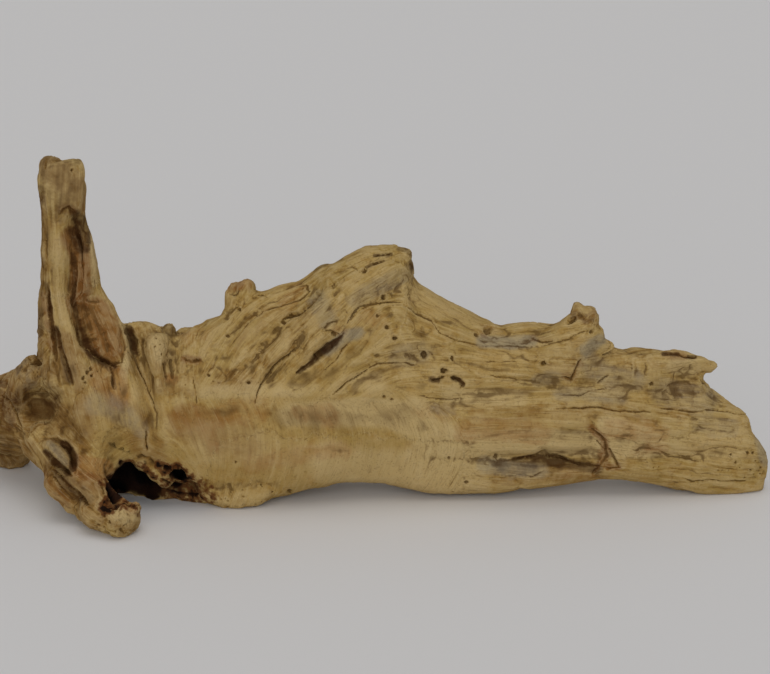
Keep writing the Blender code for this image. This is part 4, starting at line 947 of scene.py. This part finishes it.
def ridge_tree():
    """Geometry nodes: ridges, furrows and strands that follow the grain, and pits where the wood is wormed."""
    tree = bpy.data.node_groups.new("weathered grain", "GeometryNodeTree")
    socket = tree.interface.new_socket
    socket("Geometry", in_out="INPUT", socket_type="NodeSocketGeometry")
    for name in GRAIN_SIZES:
        socket(name, in_out="INPUT", socket_type="NodeSocketFloat")
    socket("Material", in_out="INPUT", socket_type="NodeSocketMaterial")
    socket("Geometry", in_out="OUTPUT", socket_type="NodeSocketGeometry")
    given = add(tree, "NodeGroupInput").outputs
    place = add(tree, "GeometryNodeInputPosition").outputs[0]
    normal = add(tree, "GeometryNodeInputNormal").outputs[0]
    way, bend, rough, pitted = (
        add(tree, "GeometryNodeInputNamedAttribute", {"Name": name}, data_type=kind).outputs[0]
        for name, kind in (("grain", "FLOAT_VECTOR"), ("bend", "FLOAT_VECTOR"),
                           ("rough", "FLOAT"), ("pitted", "FLOAT")))

    def drawn(form, taps, turn):
        seed = maths(tree, "ADD", given["Seed"], turn)
        return drawn_noise(tree, place, way, bend, given[f"{form} Width"], given[f"{form} Reach"], taps, seed)

    ridges = maths(tree, "MULTIPLY", drawn("Ridge", 9, 0.0), given["Ridge Height"])
    furrows = maths(tree, "MULTIPLY", hairlines(tree, drawn("Furrow", 7, 0.7), 6.0), given["Furrow Depth"])
    strands = maths(tree, "MULTIPLY", drawn("Strand", 11, 1.3), given["Strand Height"])
    height = maths(tree, "SUBTRACT", maths(tree, "ADD", ridges, strands), furrows)
    height = maths(tree, "MULTIPLY", height, rough)

    cells = add(tree, "ShaderNodeTexVoronoi",
                {"Vector": place, "Scale": maths(tree, "DIVIDE", 1.0, given["Pit Spacing"])}).outputs
    chance = add(tree, "ShaderNodeSeparateXYZ", {0: cells["Color"]}).outputs[0]
    size = maths(tree, "MULTIPLY", maths(tree, "MULTIPLY", chance, pitted), 0.42)
    hole = maths(tree, "MULTIPLY", maths(tree, "SUBTRACT", size, cells["Distance"]), 9.0, clamp=True)
    height = maths(tree, "SUBTRACT", height, maths(tree, "MULTIPLY", hole, given["Pit Depth"]))
    offset = add(tree, "ShaderNodeVectorMath", {0: normal, "Scale": height}, operation="SCALE").outputs[0]
    moved = add(tree, "GeometryNodeSetPosition", {"Geometry": given["Geometry"], "Offset": offset}).outputs[0]
    real = add(tree, "GeometryNodeRealizeInstances", {0: moved}).outputs[0]
    done = add(tree, "GeometryNodeSetMaterial", {"Geometry": real, "Material": given["Material"]}).outputs[0]
    add(tree, "NodeGroupOutput", {0: done})
    return tree


def raise_grain(skin, material):
    tree = ridge_tree()
    weather = skin.modifiers.new("weathered grain", "NODES")
    weather.node_group = tree
    given = {**GRAIN_SIZES, "Material": material}
    for item in tree.interface.items_tree:
        if item.name in given:
            weather[item.identifier] = given[item.name]
    apply_modifiers(skin)


# Wood

def linear(hex_colour):
    """A linear RGBA colour from an sRGB hex value."""
    parts = [int(hex_colour[i:i + 2], 16) / 255 for i in (1, 3, 5)]
    return (*(c / 12.92 if c <= 0.04045 else ((c + 0.055) / 1.055) ** 2.4 for c in parts), 1.0)


def driftwood_material():
    """Bare root wood, washed by water and rubbed by sand: dry, matte, and open in its grain."""
    material = bpy.data.materials.new("weathered driftwood")
    material.use_nodes = True
    tree = material.node_tree
    shader = tree.nodes["Principled BSDF"]
    place = add(tree, "ShaderNodeTexCoord").outputs["Object"]

    def attribute(name, output="Fac"):
        return add(tree, "ShaderNodeAttribute", attribute_name=name).outputs[output]

    def ramp(value, low, high):
        return add(tree, "ShaderNodeMapRange", {0: value, 1: low, 2: high}, clamp=True).outputs[0]

    def laid(under, colour, share, most=1.0):
        """A colour laid over what is under it, and how much of it there is at most."""
        share = maths(tree, "MULTIPLY", share, most)
        return add(tree, "ShaderNodeMix", {0: share, 6: under, 7: linear(colour)}, data_type="RGBA").outputs[2]

    def speckle(size, detail):
        """Noise of that size in metres, from 0 to 1."""
        return add(tree, "ShaderNodeTexNoise", {"Vector": place, "Scale": 1 / size, "Detail": detail}).outputs[0]

    way, bend = attribute("grain", "Vector"), attribute("bend", "Vector")
    # Growth rings cut lengthwise show as lines about a millimetre wide
    fine = drawn_noise(tree, place, way, bend, 0.0013, 0.0075, 15, 0.3)
    streak = drawn_noise(tree, place, way, bend, 0.0040, 0.018, 11, 0.9)
    split = drawn_noise(tree, place, way, bend, 0.0085, 0.022, 7, 1.7)
    broad, mottle, grit = speckle(0.055, 3.0), speckle(0.012, 4.0), speckle(0.0022, 2.0)

    wood = laid(linear("#a3864a"), "#b4965c", ramp(broad, 0.35, 0.65))
    wood = laid(wood, "#a07c3c", ramp(mottle, 0.48, 0.68), 0.7)
    open_grain = ramp(attribute("rough"), -0.30, 0.45)
    streaks = maths(tree, "MULTIPLY", open_grain, 0.55)
    wood = laid(wood, "#8a6a35", ramp(streak, 0.0, 0.9), streaks)
    wood = laid(wood, "#c4aa76", ramp(streak, 0.0, -0.9), streaks)

    def tinted(under, name):
        """A tint that follows the grain at its edges. Most patches are stains; some dark, brown and pale ones are
        painted shade and highlight.
        """
        colour, most, _ = TINTS[name]
        spread = maths(tree, "ADD", attribute(name), maths(tree, "MULTIPLY", streak, 0.22))
        spread = maths(tree, "ADD", spread, maths(tree, "MULTIPLY", maths(tree, "SUBTRACT", mottle, 0.5), 0.8))
        share = maths(tree, "MULTIPLY", ramp(spread, 0.20, 0.95), ramp(attribute(name), 0.0, 0.12))
        return laid(under, colour, share, most)

    for name in ("brown", "pale", "warm", "grey", "russet"):
        wood = tinted(wood, name)
    lines = maths(tree, "MULTIPLY", open_grain, 0.70)
    wood = laid(wood, "#6d5026", ramp(fine, 0.1, 1.0), lines)
    wood = laid(wood, "#d2bb8c", ramp(fine, -0.1, -1.0), maths(tree, "MULTIPLY", lines, 0.6))
    wood = laid(wood, "#5d4424", ramp(grit, 0.56, 0.70), 0.30)
    # Painted highlight and shade: paler where the wood stands up from its surroundings, darker where it is sunk, with
    # the dirt the hollows hold
    sink = attribute("sink")
    wood = laid(wood, "#cdb687", ramp(sink, -0.15, -1.0), 0.22)
    wood = laid(wood, "#553a1a", ramp(sink, 0.10, 1.0), 0.70)
    # Drying checks: hairlines that run with the grain, and are missing where the wood is rubbed smooth
    hair = maths(tree, "MULTIPLY", hairlines(tree, split, 9.0), ramp(mottle, 0.52, 0.64))
    hair = maths(tree, "MULTIPLY", hair, attribute("rough"))
    wood = laid(wood, "#4d361b", hair, 0.50)
    wood = tinted(wood, "dark")
    # Crumbled wood: brown first, then black painted shade where it is deep and in the gaps between the crumbs
    crumbs = maths(tree, "MULTIPLY", maths(tree, "SUBTRACT", speckle(0.0065, 3.0), 0.5), 2.4)
    rot_and_shade = maths(tree, "ADD", attribute("rot_and_shade"), maths(tree, "MULTIPLY", crumbs, ramp(attribute("rot_and_shade"), 0.0, 0.3)))
    # Painted shade in and round the hollow, where the sky can't reach: dark brown first, then black
    shut = attribute("shut")
    wood = laid(wood, "#5e3517", ramp(rot_and_shade, 0.15, 0.50), 0.9)
    wood = laid(wood, "#1d0f07", ramp(rot_and_shade, 0.62, 0.95))
    wood = laid(wood, "#2e190c", ramp(shut, 0.30, 0.55))
    wood = laid(wood, "#070504", ramp(shut, 0.45, 0.75))
    tree.links.new(wood, shader.inputs["Base Color"])
    rough = add(tree, "ShaderNodeMapRange", {0: mottle, 1: 0.3, 2: 0.7, 3: 0.78, 4: 0.92}).outputs[0]
    tree.links.new(rough, shader.inputs["Roughness"])
    shader.inputs["Specular IOR Level"].default_value = 0.08

    height = maths(tree, "MULTIPLY", fine, -0.00016)
    for dent, metres in ((streak, -0.00025), (hair, -0.0006), (grit, -0.0005)):
        height = maths(tree, "ADD", height, maths(tree, "MULTIPLY", dent, metres))
    bump = add(tree, "ShaderNodeBump", {"Strength": 0.9, "Distance": 1.0, "Height": height}).outputs[0]
    tree.links.new(bump, shader.inputs["Normal"])
    return material


def tint_attributes(mesh, seen):
    pixels = to_pixels(read_points(mesh))
    for name, areas in TINT_PATCHES.items():
        hidden = TINTS[name][2] if name in TINTS else 0
        areas = sorted(areas, key=lambda area: (-area[0], *area[1:]))
        write_attribute(mesh, name, painted_areas(pixels, seen, areas, 0, hidden))


def sink_attribute(mesh):
    """How far each point lies below its surroundings, from about -1 to 1: a blend over narrow and wide ones."""
    points, normals = read_points(mesh), read_normals(mesh)
    sink = sum(share * (((soften(mesh, points, passes) - points) * normals).sum(axis=1) / (depth * MM))
               for passes, depth, share in SINKS)
    write_attribute(mesh, "sink", np.clip(sink, -MOST_SUNK, MOST_SUNK))


def shut_attribute(mesh, bvh):
    """How little of the sky reaches each point in and round the hollow, from 0 to 1."""
    points, normals = read_points(mesh), read_normals(mesh)
    shut = np.zeros(len(points))
    close = np.zeros(len(points), bool)
    for centre, half in HOLLOWS:
        close |= (((points - centre) / half) ** 2).sum(axis=1) < SHADE_REACH**2
    turns = np.arange(SHADE_RAYS) * math.pi * (3 - math.sqrt(5))
    rises = (np.arange(SHADE_RAYS) + 0.5) / SHADE_RAYS
    flat = np.sqrt(1 - rises**2)
    rays = np.column_stack([flat * np.cos(turns), flat * np.sin(turns), rises])
    for index in np.nonzero(close)[0]:
        normal = Vector(normals[index])
        turn = Vector((0, 0, 1)).rotation_difference(normal).to_matrix()
        start = Vector(points[index]) + MM * normal
        hits = sum(bvh.ray_cast(start, turn @ Vector(ray), SHADE_RANGE)[0] is not None for ray in rays)
        shut[index] = hits / SHADE_RAYS
    write_attribute(mesh, "shut", soften(mesh, shut, 2))


# The pieces

def part_at_forks(mesh):
    """Cuts the skin at each fork and returns {node: bmesh}, each closed by a hidden end where it was cut."""
    bm = bmesh.new()
    bm.from_mesh(mesh)
    owner = bm.faces.layers.int.new("owner")
    for number, fork in enumerate(FORKS, start=1):
        along = Vector(fork.heading).normalized()
        sideways = along.cross(Vector((0, 1, 0))).normalized()
        outwards = along.cross(sideways)
        at = Vector(fork.at)

        def inside(point, low):
            away = point - at
            return (abs(away.dot(sideways)) < fork.wide and abs(away.dot(outwards)) < fork.deep
                    and low < away.dot(along) < fork.reach)

        local = [face for face in bm.faces if inside(face.calc_center_median(), -NEAR_CUT)
                 and (face.calc_center_median() - at).dot(along) < NEAR_CUT]
        geometry = set(local)
        for face in local:
            geometry.update(face.edges)
            geometry.update(face.verts)
        bmesh.ops.bisect_plane(bm, geom=list(geometry), plane_co=at, plane_no=along, dist=1e-7)
        for face in bm.faces:
            if inside(face.calc_center_median(), 0):
                face[owner] = number
    names = ["trunk"] + [fork.node for fork in FORKS]
    pieces = {}
    for number, name in enumerate(names):
        piece = bm.copy()
        layer = piece.faces.layers.int["owner"]
        others = [face for face in piece.faces if face[layer] != number]
        bmesh.ops.delete(piece, geom=others, context="FACES")
        rims = [edge for edge in piece.edges if edge.is_boundary]
        cap = piece.faces.layers.int.new("cap")
        closed = bmesh.ops.holes_fill(piece, edges=rims, sides=0)["faces"]
        for face in closed:
            face[cap] = 1
        bmesh.ops.triangulate(piece, faces=closed)
        pieces[name] = piece
    bm.free()
    return pieces


def finish_piece(name, bm, material):
    mesh = bpy.data.meshes.new(f"{name}_wood")
    bm.to_mesh(mesh)
    bm.free()
    mesh.materials.clear()
    mesh.materials.append(material)
    mesh.shade_smooth()
    # The whole skin's normals, so that no line shows where two pieces meet
    skin = np.empty(len(mesh.vertices) * 3)
    mesh.attributes["skin_normal"].data.foreach_get("vector", skin)
    corner = np.empty(len(mesh.loops), np.int64)
    mesh.loops.foreach_get("vertex_index", corner)
    normals = skin.reshape(-1, 3)[corner]
    caps = np.empty(len(mesh.polygons), np.int32)
    mesh.attributes["cap"].data.foreach_get("value", caps)
    for polygon in (mesh.polygons[int(i)] for i in np.nonzero(caps)[0]):
        normals[list(polygon.loop_indices)] = polygon.normal
    mesh.normals_split_custom_set(normals.tolist())
    for layer in ("skin_normal", "cap", "owner"):
        mesh.attributes.remove(mesh.attributes[layer])
    obj = bpy.data.objects.new(f"{name}_wood", mesh)
    bpy.context.scene.collection.objects.link(obj)
    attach(obj, "root")
    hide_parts(name)
    return obj


def make_driftwood():
    skin = grown_skin()
    bvh = tree_of(skin.data)
    lines = [placed_line(bvh, line) for line in FRONT_GRAIN]
    lines += [[np.array(point) for point in line] for line in BACK_GRAIN]
    segments = [(a, b) for line in lines for a, b in zip(line, line[1:]) if np.linalg.norm(b - a) > MM]
    nudge_skin(skin.data, bvh)
    gnaw_rim(skin.data)
    seen = seen_from_camera(skin.data, tree_of(skin.data))
    ease_creases(skin.data, seen)
    carve_marks(skin.data, seen)
    pixels = to_pixels(read_points(skin.data))
    write_attribute(skin.data, "rough", painted_areas(pixels, seen, ROUGH_AREAS, FRONT_ROUGHNESS, BACK_ROUGHNESS))
    write_attribute(skin.data, "pitted", painted_areas(pixels, seen, PITTED_AREAS, 0, BACK_PITS))
    grain_attributes(skin.data, segments)
    material = driftwood_material()
    raise_grain(skin, material)
    skin.data.calc_loop_triangles()
    thin = skin.modifiers.new("thin out", "DECIMATE")
    thin.ratio = min(1, SKIN_TRIANGLES / len(skin.data.loop_triangles))
    apply_modifiers(skin)
    mesh = skin.data
    bvh = tree_of(mesh)
    seen = seen_from_camera(mesh, bvh)
    grain_attributes(mesh, segments)
    tint_attributes(mesh, seen)
    sink_attribute(mesh)
    shut_attribute(mesh, bvh)
    write_attribute(mesh, "skin_normal", read_normals(mesh))
    mesh.attributes.remove(mesh.attributes["pitted"])
    for name, bm in part_at_forks(mesh).items():
        finish_piece(name, bm, material)
    bpy.data.objects.remove(skin)


# Table and light

def plain_material(name, colour, roughness):
    material = bpy.data.materials.new(name)
    material.use_nodes = True
    shader = material.node_tree.nodes["Principled BSDF"]
    shader.inputs["Base Color"].default_value = linear(colour)
    shader.inputs["Roughness"].default_value = roughness
    shader.inputs["Specular IOR Level"].default_value = 0.0
    return material


def make_floor():
    bm = bmesh.new()
    bmesh.ops.create_grid(bm, x_segments=1, y_segments=1, size=12)
    mesh = bpy.data.meshes.new("floor")
    bm.to_mesh(mesh)
    bm.free()
    mesh.materials.append(plain_material("matte paper sheet", "#e0dedc", 1.0))
    floor = bpy.data.objects.new("floor", mesh)
    bpy.context.scene.collection.objects.link(floor)


def make_softbox(name, heading, spread, strength):
    """Even light from a broad patch of the studio's ceiling or wall: its heading, degrees across and strength."""
    lamp = bpy.data.lights.new(name, "SUN")
    lamp.angle = math.radians(spread)
    lamp.energy = strength
    light = bpy.data.objects.new(name, lamp)
    light.rotation_euler = Vector(heading).to_track_quat("-Z", "Y").to_euler()
    bpy.context.scene.collection.objects.link(light)


def make_studio():
    make_floor()
    make_softbox("overhead softbox", (-0.10, 0.10, -1.0), 50, 0.60)
    make_softbox("front softbox", (0.10, 1.0, -0.28), 60, 1.00)
    world = bpy.data.worlds.new("studio")
    world.use_nodes = True
    background = world.node_tree.nodes["Background"]
    background.inputs["Color"].default_value = linear("#f0f1f4")
    background.inputs["Strength"].default_value = 0.43
    bpy.context.scene.world = world
    bpy.context.scene.view_settings.view_transform = "Standard"


make_camera()
make_studio()
make_driftwood()
